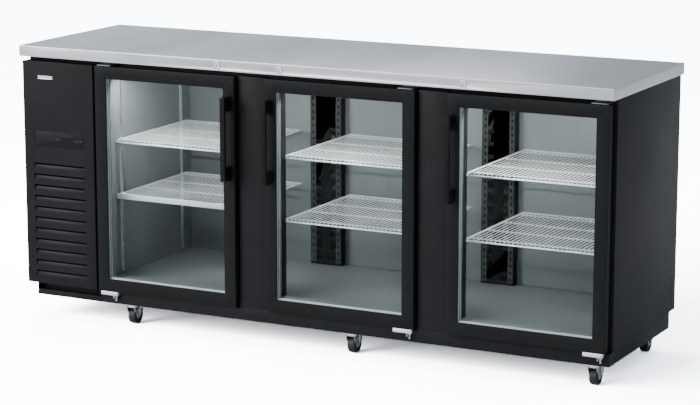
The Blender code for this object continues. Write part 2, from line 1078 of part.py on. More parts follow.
def make_controller(left, right, bottom, top, look):
    behind = door_front + sheet + fit_gap
    body_right = right - controller_body_inset
    controller = box(
        "controller",
        (left - bezel_flange, behind, bottom - bezel_flange),
        (right + bezel_flange, behind + sheet, top + bezel_flange),
        look["plastic"],
    )
    face = box(
        "controller_face",
        (left + fit_gap, door_front, bottom + fit_gap),
        (right - fit_gap, behind + sheet / 2, top - fit_gap),
    )
    body = box(
        "controller_body",
        (body_right - controller_body_width, behind + sheet / 2, bottom),
        (body_right, behind + controller_body_depth, top),
    )
    return unite(controller, face, body)


def fan_unit(names, centre, size, reach, look):
    """A finned coil with its fan motor on two arms behind it, and the fan on the motor's shaft."""
    coil_name, fan_name = names
    x, front, z = centre
    width, depth, height = size
    back = front + depth
    coil = box(
        coil_name,
        (x - width / 2, front, z - height / 2),
        (x + width / 2, back, z + height / 2),
        look["copper"],
    )
    pitch = width / (fin_count + 1)
    left, half_gap, half_slot = x - width / 2, fin_gap / 2, height / 2 - fin_border
    grooves = [
        (
            (left + fin * pitch - half_gap, front - cut_over, z - half_slot),
            (left + fin * pitch + half_gap, front + fin_depth, z + half_slot),
        )
        for fin in range(1, fin_count + 1)
    ]
    motor_front, arm = back + motor_gap, motor_arm
    beam_front = motor_front + beam_inset
    motor = rod(
        f"{coil_name}_motor",
        (x, motor_front, z),
        (x, motor_front + motor_length, z),
        motor_radius,
        sides=round_sides,
    )
    beam = box(
        f"{coil_name}_beam",
        (x - arm, beam_front, z - reach),
        (x + arm, beam_front + arm, z + reach),
    )
    arms = [
        box(
            f"{coil_name}_arm_{side}",
            (x - arm, back - arm_root, z + height_sign * reach - arm),
            (x + arm, beam_front + arm, z + height_sign * reach + arm),
        )
        for side, height_sign in (("low", -1), ("high", 1))
    ]
    shaft = rod(
        f"{coil_name}_shaft",
        (x, back + shaft_gap, z),
        (x, beam_front, z),
        axle_radius,
        sides=12,
    )
    unite(coil, motor, beam, *arms, shaft)
    cut(coil, boxes(f"{coil_name}_grooves", grooves))
    hub = (x, back + fan_gap, z)
    axis = axis_empty(f"{fan_name}_axis", hub)
    place_under(make_fan(fan_name, hub, reach - fan_tip_gap, look), axis)


def make_fan(name, centre, radius, look):
    bore, half = axle_radius + running_clearance, hub_half
    profile = [(bore, -half), (hub_radius, -half), (hub_radius, half), (bore, half)]
    fan = lathe(name, profile, centre, (0, 1, 0), look["plastic"], sides=16)
    x, y, z = centre
    for number in range(blade_count):
        shape = bmesh.new()
        bmesh.ops.create_cube(shape, size=1.0)
        length = radius - hub_radius + blade_root
        bmesh.ops.scale(shape, vec=(*blade_size, length), verts=shape.verts)
        tilt = Matrix.Rotation(math.radians(blade_angle), 3, "Z")
        bmesh.ops.rotate(shape, cent=(0, 0, 0), matrix=tilt, verts=shape.verts)
        bmesh.ops.translate(shape, vec=(0, 0, radius - length / 2), verts=shape.verts)
        turn = Matrix.Rotation(number * 2 * math.pi / blade_count, 3, "Y")
        bmesh.ops.rotate(shape, cent=(0, 0, 0), matrix=turn, verts=shape.verts)
        unite(fan, add_mesh(f"{name}_blade_{number + 1}", shape, None, (x, y, z)))
    return fan


def make_compressor(x, y, look):
    bottom = caster_height + sheet + fit_gap
    radius = compressor_radius
    base = box(
        "compressor",
        (x - radius, y - radius, bottom),
        (x + radius, y + radius, bottom + compressor_plate),
        look["black"],
    )
    centre = (x, y, bottom)
    can = lathe("compressor_can", compressor_profile, centre, (0, 0, 1), None, round_sides)
    return unite(base, can)


def make_machinery(look):
    middle = (cabinet_left + sheet + divider_left) / 2
    condenser = (coil_width, coil_depth, condenser_height)
    stand = caster_height + sheet + fit_gap + condenser[2] / 2
    place = (middle + condenser_offset, seal_plane + condenser_setback, stand)
    fan_unit(("condenser", "condenser_fan"), place, condenser, condenser_reach, look)
    evaporator = (coil_width, coil_depth, evaporator_height)
    right = divider_left - fit_gap - evaporator[0] / 2
    hung = ceiling_bottom - evaporator_drop - evaporator_height / 2
    place = (right, seal_plane + evaporator_setback, hung)
    fan_unit(("evaporator", "evaporator_fan"), place, evaporator, evaporator_reach, look)
    make_compressor(middle + compressor_offset, base_back - compressor_rear, look)


def build():
    clear_scene()
    look = make_finishes()
    make_worktop(look)
    make_shell(look)
    make_front(look)
    make_ducts(look)
    make_shelves(look)
    make_doors(look)
    make_hinge_brackets(look)
    make_locks(look)
    make_casters(look)
    make_machine_base(look)
    make_machine_panels(look)
    make_grille(look)
    make_machinery(look)


build()
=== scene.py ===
import json
import math

import bmesh
import bpy
from mathutils import Matrix, Vector

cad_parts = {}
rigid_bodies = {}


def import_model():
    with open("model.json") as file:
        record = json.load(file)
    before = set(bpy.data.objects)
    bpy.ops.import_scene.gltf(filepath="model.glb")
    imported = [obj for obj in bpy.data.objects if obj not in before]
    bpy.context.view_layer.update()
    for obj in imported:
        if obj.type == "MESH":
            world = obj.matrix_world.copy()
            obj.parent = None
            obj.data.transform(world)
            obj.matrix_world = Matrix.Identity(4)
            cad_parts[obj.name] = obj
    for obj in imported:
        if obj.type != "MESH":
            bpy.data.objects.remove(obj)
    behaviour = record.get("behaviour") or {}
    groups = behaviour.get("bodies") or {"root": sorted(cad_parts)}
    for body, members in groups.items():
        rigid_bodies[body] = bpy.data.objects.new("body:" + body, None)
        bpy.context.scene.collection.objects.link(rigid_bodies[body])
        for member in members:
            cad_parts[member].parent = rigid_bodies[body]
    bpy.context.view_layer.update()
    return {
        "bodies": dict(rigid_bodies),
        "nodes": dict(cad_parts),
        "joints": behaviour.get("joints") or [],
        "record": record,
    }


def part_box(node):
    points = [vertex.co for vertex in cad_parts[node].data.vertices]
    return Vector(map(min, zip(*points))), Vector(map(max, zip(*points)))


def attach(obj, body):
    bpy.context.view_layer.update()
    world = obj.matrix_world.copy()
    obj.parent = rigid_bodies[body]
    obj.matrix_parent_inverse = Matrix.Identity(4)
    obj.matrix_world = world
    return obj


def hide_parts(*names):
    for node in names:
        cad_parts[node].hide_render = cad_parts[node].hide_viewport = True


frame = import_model()
nodes = frame["nodes"]
nearby = 1e-4  # how close a point counts as lying on a level
print("frame loaded:", len(nodes), "nodes")


def activate(obj):
    bpy.ops.object.select_all(action="DESELECT")
    obj.select_set(True)
    bpy.context.view_layer.objects.active = obj


def addBlock(name, low, high):
    bpy.ops.object.select_all(action="DESELECT")
    middle = [(a + b) / 2 for a, b in zip(low, high)]
    size = [b - a for a, b in zip(low, high)]
    bpy.ops.mesh.primitive_cube_add(size=1, location=middle, scale=size)
    obj = bpy.context.object
    obj.name = name
    bpy.ops.object.transform_apply(location=True, rotation=True, scale=True)
    return obj


def addRod(name, start, end, radius, sides=24):
    bpy.ops.object.select_all(action="DESELECT")
    along = Vector(end) - Vector(start)
    bpy.ops.mesh.primitive_cylinder_add(
        vertices=sides,
        radius=radius,
        depth=along.length,
        location=(Vector(start) + Vector(end)) / 2,
        rotation=along.to_track_quat("Z", "Y").to_euler(),
    )
    obj = bpy.context.object
    obj.name = name
    bpy.ops.object.transform_apply(location=True, rotation=True, scale=True)
    return obj


def shape(obj, kind, test, *steps):  # runs edit-mode operators on what passes the test
    activate(obj)
    bpy.ops.object.mode_set(mode="EDIT")
    bpy.ops.mesh.select_mode(type=kind)
    bpy.ops.mesh.select_all(action="DESELECT")
    mesh = bmesh.from_edit_mesh(obj.data)
    for item in {"VERT": mesh.verts, "EDGE": mesh.edges, "FACE": mesh.faces}[kind]:
        if test(item):
            item.select_set(True)
    bmesh.update_edit_mesh(obj.data)
    for operator, settings in steps:
        operator(**settings)
    bpy.ops.object.mode_set(mode="OBJECT")


def facing(axis, sign, level=None):  # faces that look along an axis, at one level if it is given
    def test(face):
        near = level is None or abs(face.calc_center_median()[axis] - level) < nearby
        return face.normal[axis] * sign > 0.9 and near
    return test


def edgesAlong(axis, *levels):  # edges along one axis whose other places match the levels given
    def test(edge):
        along = edge.verts[1].co - edge.verts[0].co
        middle = (edge.verts[0].co + edge.verts[1].co) / 2
        straight = abs(along[axis]) > 0.99 * along.length
        return straight and all(abs(middle[a] - level) < nearby for a, level in levels)
    return test


def move(x=0.0, y=0.0, z=0.0):
    return bpy.ops.transform.translate, {"value": (x, y, z)}


def push(x=0.0, y=0.0, z=0.0):
    return bpy.ops.mesh.extrude_region_move, {"TRANSFORM_OT_translate": {"value": (x, y, z)}}


def inset(thickness, depth=0.0):
    return bpy.ops.mesh.inset, {"thickness": thickness, "depth": depth}


def bevelEdges(width, segments=3):
    return bpy.ops.mesh.bevel, {"offset": width, "segments": segments, "affect": "EDGES"}


def roundCorners(obj, axis, width, segments):
    shape(obj, "EDGE", edgesAlong(axis), bevelEdges(width, segments))


def grow(x, y, z, centre):
    return bpy.ops.transform.resize, {"value": (x, y, z), "center_override": centre}


def sliceAt(obj, axis, level):
    normal = [0, 0, 0]
    point = [0, 0, 0]
    normal[axis], point[axis] = 1, level
    shape(obj, "FACE", lambda f: True, (bpy.ops.mesh.bisect, {"plane_co": point, "plane_no": normal}))


def modify(obj, kind, **settings):
    activate(obj)
    made = obj.modifiers.new(kind.title(), kind)
    for key, value in settings.items():
        setattr(made, key, value)
    bpy.ops.object.modifier_apply(modifier=made.name)


def smooth(obj, angle=32):
    activate(obj)
    bpy.ops.object.shade_smooth_by_angle(angle=math.radians(angle))
    return obj


def soften(obj, width, segments=2, angle=40):
    modify(
        obj, "BEVEL", width=width, segments=segments, limit_method="ANGLE",
        angle_limit=math.radians(angle), use_clamp_overlap=True, miter_outer="MITER_ARC",
    )
    return smooth(obj)


def joined(name, *pieces):
    bpy.ops.object.select_all(action="DESELECT")
    for piece in pieces:
        piece.select_set(True)
    bpy.context.view_layer.objects.active = pieces[0]
    bpy.ops.object.join()
    pieces[0].name = name
    return pieces[0]


def carve(obj, cutter):
    modify(obj, "BOOLEAN", object=cutter, operation="DIFFERENCE", solver="EXACT")
    bpy.data.objects.remove(cutter)
    return obj


def repeated(obj, count, step):
    modify(
        obj, "ARRAY", count=count, use_relative_offset=False, use_constant_offset=True,
        constant_offset_displace=step, use_merge_vertices=False,
    )
    return obj


def copied(obj, name, shift=(0, 0, 0), mirrorAt=None):
    twin = obj.copy()
    twin.data = obj.data.copy()
    twin.name = name
    for key in list(twin.keys()):
        if key.startswith("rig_"):
            del twin[key]
    twin.parent = None
    bpy.context.scene.collection.objects.link(twin)
    if mirrorAt is not None:
        twin.data.transform(Matrix.Translation((2 * mirrorAt, 0, 0)) @ Matrix.Scale(-1, 4, (1, 0, 0)))
        twin.data.flip_normals()
    twin.data.transform(Matrix.Translation(shift))
    return twin


def makeRing(name, low, high, holeLow, holeHigh, axis=1):  # a flat frame round a rectangular hole
    across = [a for a in range(3) if a != axis]
    ring = addBlock(name, low, high)
    for a in across:
        sliceAt(ring, a, holeLow[a])
        sliceAt(ring, a, holeHigh[a])

    def inHole(face):
        at = face.calc_center_median()
        return abs(face.normal[axis]) > 0.9 and all(holeLow[a] < at[a] < holeHigh[a] for a in across)

    shape(ring, "FACE", inHole, (bpy.ops.mesh.delete, {"type": "FACE"}))
    shape(ring, "EDGE", lambda e: e.is_boundary, (bpy.ops.mesh.bridge_edge_loops, {}))
    return ring


def fromNode(node, name, width, segments=2, angle=50):  # a CAD solid with its edges rolled over
    piece = copied(nodes[node], name)
    shape(
        piece, "FACE", lambda f: True,
        (bpy.ops.mesh.remove_doubles, {"threshold": 1e-5}),
        (bpy.ops.mesh.dissolve_limited, {"angle_limit": math.radians(0.5)}),
    )
    return soften(piece, width, segments, angle)


def settle(piece, body, slot, *replaced, finish=None):
    piece.data.materials.clear()
    piece.data.materials.append(finish or finishes[slot])
    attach(piece, body)
    if replaced:
        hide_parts(*replaced)
    return piece


def paintFaces(piece, finish, test):  # a second finish on the faces that pass the test
    piece.data.materials.append(finish)
    last = len(piece.data.materials) - 1
    for face in piece.data.polygons:
        if test(face.center, face.normal):
            face.material_index = last


class Wire:  # a shader socket that takes part in Python arithmetic
    def __init__(self, tree, socket=None):
        self.tree = tree
        self.socket = socket

    def node(self, kind, settings=None, inputs=None, output=0):
        made = self.tree.nodes.new("ShaderNode" + kind)
        for key, value in (settings or {}).items():
            setattr(made, key, value)
        for key, value in (inputs or {}).items():
            if isinstance(value, Wire):
                self.tree.links.new(value.socket, made.inputs[key])
            else:
                made.inputs[key].default_value = value
        return Wire(self.tree, made.outputs[output])

    def maths(self, operation, first, second):
        return self.node("Math", {"operation": operation}, {0: first, 1: second})

    def __add__(self, other):
        return self.maths("ADD", self, other)

    def __radd__(self, other):
        return self.maths("ADD", other, self)

    def __sub__(self, other):
        return self.maths("SUBTRACT", self, other)

    def __mul__(self, other):
        return self.maths("MULTIPLY", self, other)


def startFinish(name, constants):
    material = bpy.data.materials.new(name)
    material.use_nodes = True
    shader = material.node_tree.nodes["Principled BSDF"]
    for key, value in constants.items():
        shader.inputs[key].default_value = value
    material.diffuse_color = tuple(shader.inputs["Base Color"].default_value)
    return material, Wire(material.node_tree), shader


def connect(shader, key, wire):
    wire.tree.links.new(wire.socket, shader.inputs[key])


def setSurface(mixed):
    output = mixed.tree.nodes["Material Output"]
    mixed.tree.links.new(mixed.socket, output.inputs["Surface"])


def cloud(wire, scale, detail=3.0, rough=0.55, stretch=(1, 1, 1)):
    at = wire.node("TexCoord", output="Object")
    at = wire.node("Mapping", None, {"Vector": at, "Scale": stretch})
    return wire.node("TexNoise", None, {"Vector": at, "Scale": scale, "Detail": detail, "Roughness": rough})


def blendTones(wire, mask, dark, light):
    return wire.node("Mix", {"data_type": "RGBA"}, {0: mask, 6: (*dark, 1), 7: (*light, 1)}, output=2)


def relief(wire, height, strength, distance):
    return wire.node("Bump", None, {"Height": height, "Strength": strength, "Distance": distance})


def clamped(wire, low, high):
    return wire.node(
        "MapRange", {"clamp": True},
        {"Value": wire, "From Min": low, "From Max": high, "To Min": 0.0, "To Max": 1.0},
    )


def paintFinish(name, dark, light, rough, peel=900, edgeHighlight=0.02, bumpDepth=0.00012, gloss=0.13):
    # sprayed or powder coat: faint mottling, orange peel, dust, and a painted highlight that lightens the
    # edges
    material, wire, shader = startFinish(
        name, {"Base Color": (*light, 1), "Specular IOR Level": gloss, "Coat Roughness": 0.25}
    )
    mottle = clamped(cloud(wire, 5, 4), 0.3, 0.7)
    dust = clamped(cloud(wire, 60, 5, 0.7), 0.52, 0.8)
    # painted highlight: convex edges, found by pointiness, are mixed toward light grey
    edge = clamped(wire.node("NewGeometry", output="Pointiness"), 0.52, 0.60)
    tone = blendTones(wire, mottle, dark, light)
    edgeHighlightAndDust = edge * edgeHighlight + dust * 0.02
    tone = wire.node("Mix", {"data_type": "RGBA"}, {0: edgeHighlightAndDust, 6: tone, 7: (0.22, 0.22, 0.23, 1)}, output=2)
    connect(shader, "Base Color", tone)
    connect(shader, "Roughness", rough + mottle * 0.06 + dust * 0.08 - edge * 0.05)
    grain = cloud(wire, peel, 2) + cloud(wire, peel / 6, 2) * 0.6
    connect(shader, "Normal", relief(wire, grain, 0.25, bumpDepth))
    return material


def brushedFinish(name, dark, light, rough, stretch, metallic=1.0, streak=240, depth=0.00006):
    # rolled and brushed sheet: long fine streaks along the least stretched axis, and broad bands of painted
    # reflection across x
    material, wire, shader = startFinish(name, {"Base Color": (*light, 1), "Metallic": metallic})
    fine = cloud(wire, streak, 3, 0.6, stretch)
    # painted reflection: broad soft bands across x lighten and darken the base colour like reflected light
    broad = clamped(cloud(wire, 2.4, 1.5, 0.5, (1, 0.08, 0.08)), 0.35, 0.65)
    smudge = clamped(cloud(wire, 9, 5, 0.65), 0.45, 0.75)
    lines = clamped(fine, 0.25, 0.75)
    connect(shader, "Base Color", blendTones(wire, lines * 0.45 + broad * 0.55, dark, light))
    connect(shader, "Roughness", rough + lines * 0.08 + broad * 0.06 - smudge * 0.05)
    connect(shader, "Normal", relief(wire, fine, 0.35, depth))
    return material


def platedFinish(name, dark, light, rough, crystal=160):
    # zinc plate: faint crystal facets under a bright skin
    material, wire, shader = startFinish(name, {"Base Color": (*light, 1), "Metallic": 1.0})
    at = wire.node("TexCoord", output="Object")
    facet = wire.node("TexVoronoi", None, {"Vector": at, "Scale": crystal}, output="Distance")
    haze = clamped(cloud(wire, 90, 4), 0.3, 0.7)
    mask = clamped(facet, 0.0, 0.7) * 0.5 + haze * 0.5
    connect(shader, "Base Color", blendTones(wire, mask, dark, light))
    connect(shader, "Roughness", rough + haze * 0.12)
    connect(shader, "Normal", relief(wire, cloud(wire, 700, 2), 0.2, 0.00008))
    return material


def rubberFinish(name, dark, light, rough, scuff=0.10):
    material, wire, shader = startFinish(name, {"Base Color": (*light, 1), "Specular IOR Level": 0.3})
    grime = clamped(cloud(wire, 120, 5, 0.7), 0.45, 0.8)
    broad = clamped(cloud(wire, 25, 3), 0.3, 0.7)
    connect(shader, "Base Color", blendTones(wire, grime * scuff * 4 + broad * 0.3, dark, light))
    connect(shader, "Roughness", rough + grime * 0.12)
    connect(shader, "Normal", relief(wire, cloud(wire, 1400, 3), 0.3, 0.0001))
    return material


def glassFinish(name):
    # low-iron double glazing: clear with a mirror sheen that rises at grazing angles
    material, wire, shader = startFinish(name, {"Base Color": (0.80, 0.84, 0.84, 1), "Metallic": 1.0})
    film = clamped(cloud(wire, 3, 4), 0.4, 0.8)
    connect(shader, "Roughness", 0.03 + film * 0.03)
    clear = wire.node("BsdfTransparent", None, {"Color": (0.955, 0.975, 0.972, 1)})
    sheen = wire.node("LayerWeight", None, {"Blend": 0.12}, output="Fresnel")
    amount = clamped(sheen, 0.03, 1.0) * (0.45 + film * 0.1)
    setSurface(wire.node("MixShader", None, {0: amount, 1: clear, 2: Wire(wire.tree, shader.outputs[0])}))
    return material


def finFinish(name, dark, light):
    # stacked aluminium fins seen as fine upright lines
    material, wire, shader = startFinish(name, {"Base Color": (*light, 1), "Metallic": 0.85})
    at = wire.node("TexCoord", output="Object")
    x = wire.node("SeparateXYZ", None, {0: at}, output="X")
    comb = wire.maths("SINE", x * (2 * math.pi / 0.0026), 0.0) * 0.5 + 0.5
    dust = clamped(cloud(wire, 50, 5), 0.4, 0.8)
    connect(shader, "Base Color", blendTones(wire, comb * 0.8 - dust * 0.3, dark, light))
    connect(shader, "Roughness", 0.38 + dust * 0.2)
    connect(shader, "Normal", relief(wire, comb, 0.6, 0.0008))
    return material


def glowFinish(name, colour, strength):
    material, wire, shader = startFinish(
        name, {"Base Color": (*colour, 1), "Emission Strength": strength, "Roughness": 0.4}
    )
    diodes = clamped(cloud(wire, 90, 2, 0.5, (1, 0.1, 0.1)), 0.2, 0.8)
    connect(shader, "Emission Color", blendTones(wire, diodes, [c * 0.85 for c in colour], colour))
    return material


finishes = {
    "satin_stainless": brushedFinish(
        "satinStainless", (0.55, 0.56, 0.58), (0.72, 0.735, 0.755), 0.30, (0.02, 1, 1)
    ),
    "black_painted_steel": paintFinish(
        "blackPaintedSteel", (0.0046, 0.0051, 0.0062), (0.0066, 0.0072, 0.0086), 0.42
    ),
    "black_door_frame": paintFinish(
        "blackDoorFrame", (0.0046, 0.0049, 0.0058), (0.0062, 0.0066, 0.0077), 0.44, peel=1300
    ),
    "interior_liner": brushedFinish(
        "linerSheet", (0.18, 0.19, 0.20), (0.24, 0.25, 0.26), 0.46, (1, 1, 0.03),
        metallic=0.30, streak=40, depth=0.00002,
    ),
    "door_glass": glassFinish("clearGlazing"),
    "gasket_rubber": rubberFinish("sealRubber", (0.012, 0.012, 0.013), (0.05, 0.05, 0.052), 0.55),
    "zinc_plated_steel": platedFinish("brightZinc", (0.80, 0.85, 0.88), (0.96, 0.98, 0.99), 0.34),
    "white_coated_wire": paintFinish(
        "whiteCoatedWire", (0.86, 0.87, 0.88), (0.93, 0.94, 0.95), 0.30,
        peel=500, edgeHighlight=0.0, bumpDepth=0.00010, gloss=0.5,
    ),
    "wheel_rubber": rubberFinish("wheelTread", (0.007, 0.007, 0.008), (0.05, 0.05, 0.05), 0.5, scuff=0.10),
    "dark_duct": paintFinish(
        "darkDuctPaint", (0.0055, 0.0060, 0.0070), (0.010, 0.011, 0.012), 0.5, edgeHighlight=0.0, bumpDepth=0.00003
    ),
    "coil_metal": finFinish("coilFins", (0.20, 0.21, 0.22), (0.55, 0.56, 0.57)),
    "black_plastic": paintFinish(
        "blackPlastic", (0.0030, 0.0030, 0.0034), (0.0046, 0.0046, 0.0052), 0.38, peel=2200, edgeHighlight=0.04
    ),
}
spacerMetal = brushedFinish(
    "spacerMetal", (0.55, 0.57, 0.58), (0.72, 0.74, 0.75), 0.36, (1, 1, 0.1), metallic=0.8, streak=300
)
revealPlastic = rubberFinish("revealPlastic", (0.15, 0.165, 0.17), (0.24, 0.26, 0.265), 0.42)
lampGlow = glowFinish("lampDiffuser", (0.95, 0.98, 1.0), 1.6)
displayGloss = paintFinish(
    "displayGloss", (0.0030, 0.0032, 0.0036), (0.0042, 0.0044, 0.0050), 0.12, peel=300, bumpDepth=0.00003
)
keyMark = paintFinish("keyMark", (0.035, 0.036, 0.038), (0.05, 0.05, 0.052), 0.5, peel=1500, edgeHighlight=0.0)
# painted shade and highlights: a darker copy of the zinc plate, with bright patches standing in for glints
shadedZincGlints = platedFinish("shadedZincGlints", (0.10, 0.13, 0.15), (0.62, 0.72, 0.78), 0.20, crystal=420)
stripPaint = paintFinish(
    "stripPaint", (0.045, 0.047, 0.046), (0.070, 0.072, 0.070), 0.5, edgeHighlight=0.0, bumpDepth=0.00003
)
# painted shade: a much darker copy of the zinc plate for the top hinges, which sit in shadow
shadowedZinc = platedFinish("shadowedZinc", (0.10, 0.11, 0.12), (0.22, 0.23, 0.24), 0.40)
for obj in nodes.values():
    own = obj.data.materials[0].name.split(".")[0]
    obj.data.materials.clear()
    obj.data.materials.append(finishes[own])
print("finishes ready:", len(finishes))


worktopPlan = {
    "topEdge": 0.0018, "cornerEdge": 0.004, "underEdge": 0.0008, "sheet": 0.0030,
    "plug": 0.0085, "barrelHole": 0.0103, "barrelDepth": 0.008,
    "bezelRadius": 0.0136, "bezelProud": 0.0026, "bezelSunk": 0.0004, "bezelHole": 0.0102,
    "bezelEdge": 0.0007, "keywayWidth": 0.0026, "keywayHeight": 0.0110, "keywayProud": 0.0003,
    "keywaySunk": 0.0004, "cutOver": 0.01,
}


def makeWorktop(plan):
    low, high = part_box("countertop")
    top = addBlock("worktop", low, high)
    roundCorners(top, 2, plan["cornerEdge"], 4)
    hollow = push(z=high.z - low.z - plan["sheet"])
    shape(top, "FACE", facing(2, -1, low.z), inset(plan["sheet"]), hollow)

    def onRim(edge):
        return min(v.co.z for v in edge.verts) > high.z - nearby

    shape(top, "EDGE", onRim, bevelEdges(plan["topEdge"], 4))
    front, back = low.y - plan["cutOver"], low.y + plan["barrelDepth"]
    for index in (1, 2, 3):
        plugLow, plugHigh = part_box(f"lock_plug_{index}")
        x, z = plugLow.x + plan["plug"], (plugLow.z + plugHigh.z) / 2
        carve(top, addRod("barrelHole", (x, front, z), (x, back, z), plan["barrelHole"], 32))
        makeBezel(plan, index, x, low.y, z)
        makeKeyway(plan, index, x, plugLow.y, z)
    soften(top, plan["underEdge"], 2, 50)
    settle(top, "cabinet", "satin_stainless", "countertop")


def makeBezel(plan, index, x, y, z):  # a plated ring round each lock plug
    front, back = y - plan["bezelProud"], y + plan["bezelSunk"]
    ring = addRod(f"lock_bezel_{index}", (x, front, z), (x, back, z), plan["bezelRadius"], 40)
    reach = 2 * plan["cutOver"]
    carve(ring, addRod("bezelBore", (x, y - reach, z), (x, y + reach, z), plan["bezelHole"], 40))
    soften(ring, plan["bezelEdge"], 3)
    settle(ring, "cabinet", "zinc_plated_steel")


def makeKeyway(plan, index, x, y, z):
    wide, tall = plan["keywayWidth"], plan["keywayHeight"]
    keyway = addBlock(
        f"lock_keyway_{index}", (x - wide / 2, y - plan["keywayProud"], z - tall / 2),
        (x + wide / 2, y + plan["keywaySunk"], z + tall / 2),
    )
    roundCorners(keyway, 1, wide * 0.3, 3)
    shape(keyway, "FACE", facing(1, -1), inset(0.0004, -0.0002))
    settle(keyway, f"lock_{index}", "black_plastic")


makeWorktop(worktopPlan)
print("worktop ready")


doorPlan = {
    "stile": 0.045, "topBand": 0.044, "bottomBand": 0.047, "lip": 0.004, "rebate": 0.010,
    "pane": 0.004, "spacer": 0.016, "spacerProud": 0.0014, "spacerBar": 0.0035, "seam": 0.0002,
    "frontCap": 0.012, "capStep": 0.0010, "edge": 0.0016, "gap": 0.0003,
    "strikeDepth": 0.0088, "strikeWidth": 0.0060, "strikeLeft": 0.0015, "strikeRight": 0.0010,
}


def openingOf(plan, low, high, spread=0.0):
    return (
        (low.x + plan["stile"] - spread, low.y, low.z + plan["bottomBand"] - spread),
        (high.x - plan["stile"] + spread, high.y, high.z - plan["topBand"] + spread),
    )


def ringBetween(name, outer, hole, front, back):
    low, high = outer
    return makeRing(name, (low[0], front, low[2]), (high[0], back, high[2]), *hole)


def makeDoorFrame(plan, low, high):
    hole, wide = openingOf(plan, low, high), openingOf(plan, low, high, plan["rebate"])
    step, capBack = plan["capStep"], low.y + plan["frontCap"]
    lip = ringBetween("doorLip", (low, high), hole, low.y, low.y + plan["lip"])
    cap = ringBetween("doorCap", (low, high), wide, low.y + plan["lip"], capBack)
    lip = soften(joined("doorFront", lip, cap), plan["edge"], 3)
    inner = (low + Vector((step, 0, step)), high - Vector((step, 0, step)))
    body = soften(ringBetween("doorBody", inner, wide, capBack, high.y), 0.0010, 2)
    return lip, body


def carveStrike(plan, body, index):  # the slot that the lock's cam turns down into
    plugLow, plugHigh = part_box(f"lock_plug_{index}")
    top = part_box(f"door_frame_{index}")[1].z
    back, depth = plugHigh.y + plan["gap"], plan["strikeDepth"]
    slot = addBlock(
        "strikeSlot", (plugLow.x - plan["strikeLeft"], back - plan["strikeWidth"], top - depth),
        (plugHigh.x + plan["strikeRight"], back, top + depth),
    )
    return smooth(carve(body, slot))


def makeGlazing(plan, low, high):
    hole, wide = openingOf(plan, low, high), openingOf(plan, low, high, plan["rebate"] - plan["gap"])
    front = low.y + plan["lip"] + plan["gap"]
    spacerFront, spacerBack = front + plan["pane"], front + plan["pane"] + plan["spacer"]
    rear = spacerBack + plan["pane"]
    panes = []
    for y in (front, spacerBack):
        pane = addBlock("pane", (wide[0][0], y, wide[0][2]), (wide[1][0], y + plan["pane"], wide[1][2]))
        panes.append(soften(pane, 0.0006, 2))
    panes = joined("door_panes", *panes)
    proud = plan["spacerProud"]
    narrow = openingOf(plan, low, high, -proud)
    bar, seam = plan["spacerBar"], plan["seam"]
    webFront, webBack = spacerFront + seam + bar, spacerBack - seam - bar
    starts = (spacerFront + seam, webBack)
    bars = [soften(ringBetween("spacerBar", wide, narrow, y, y + bar), 0.0007, 2) for y in starts]
    web = soften(ringBetween("spacerWeb", wide, hole, webFront, webBack), 0.0005, 1)
    spacer = joined("glazing_spacer", *bars)
    retainer = ringBetween("retainer", wide, hole, rear + plan["gap"], high.y - seam)
    retainer = joined("glazing_retainer", soften(retainer, 0.0018, 3), web)
    return panes, spacer, retainer


sealPlan = {"width": 0.018, "webShare": 0.35, "bulbInset": 0.0035, "webEdge": 0.0006, "bulbEdge": 0.0026}


def makeGasket(plan, low, high):  # a seal with a thin web and a soft bulb
    width = plan["width"]
    bulbAt = low.y + (high.y - low.y) * plan["webShare"]
    outer = ((low.x, 0, low.z), (high.x, 0, high.z))
    inner = ((low.x + width, 0, low.z + width), (high.x - width, 0, high.z - width))
    web = ringBetween("sealWeb", outer, inner, low.y, bulbAt)
    step = plan["bulbInset"]
    outer = ((low.x + step, 0, low.z + step), (high.x - step, 0, high.z - step))
    width -= step
    inner = ((low.x + width, 0, low.z + width), (high.x - width, 0, high.z - width))
    bulb = ringBetween("sealBulb", outer, inner, bulbAt, high.y)
    return joined("door_gasket", soften(web, plan["webEdge"], 2), soften(bulb, plan["bulbEdge"], 4))


handlePlan = {"grip": 0.010, "foot": 0.049, "edge": 0.0030, "innerEdge": 0.006}


def makeHandle(plan, low, high):  # one bar drawn out into a foot at each end
    gripBack = low.y + plan["grip"]
    handle = addBlock("door_handle", low, (high.x, gripBack, high.z))
    for level in (low.z + plan["foot"], high.z - plan["foot"]):
        sliceAt(handle, 2, level)

    def footBack(face):
        z = face.calc_center_median().z
        outside = z < low.z + plan["foot"] or z > high.z - plan["foot"]
        return face.normal.y > 0.9 and outside

    shape(handle, "FACE", footBack, push(y=high.y - gripBack))

    def inCorner(edge):  # where the grip meets a foot
        start = edge.verts[0].co
        across = edgesAlong(0)(edge) and all(abs(v.co.y - gripBack) < nearby for v in edge.verts)
        fromMiddle = abs(start.z - (low.z + high.z) / 2)
        return across and abs(fromMiddle - ((high.z - low.z) / 2 - plan["foot"])) < nearby

    shape(handle, "EDGE", inCorner, bevelEdges(plan["innerEdge"], 5))
    return soften(handle, plan["edge"], 4, 30)


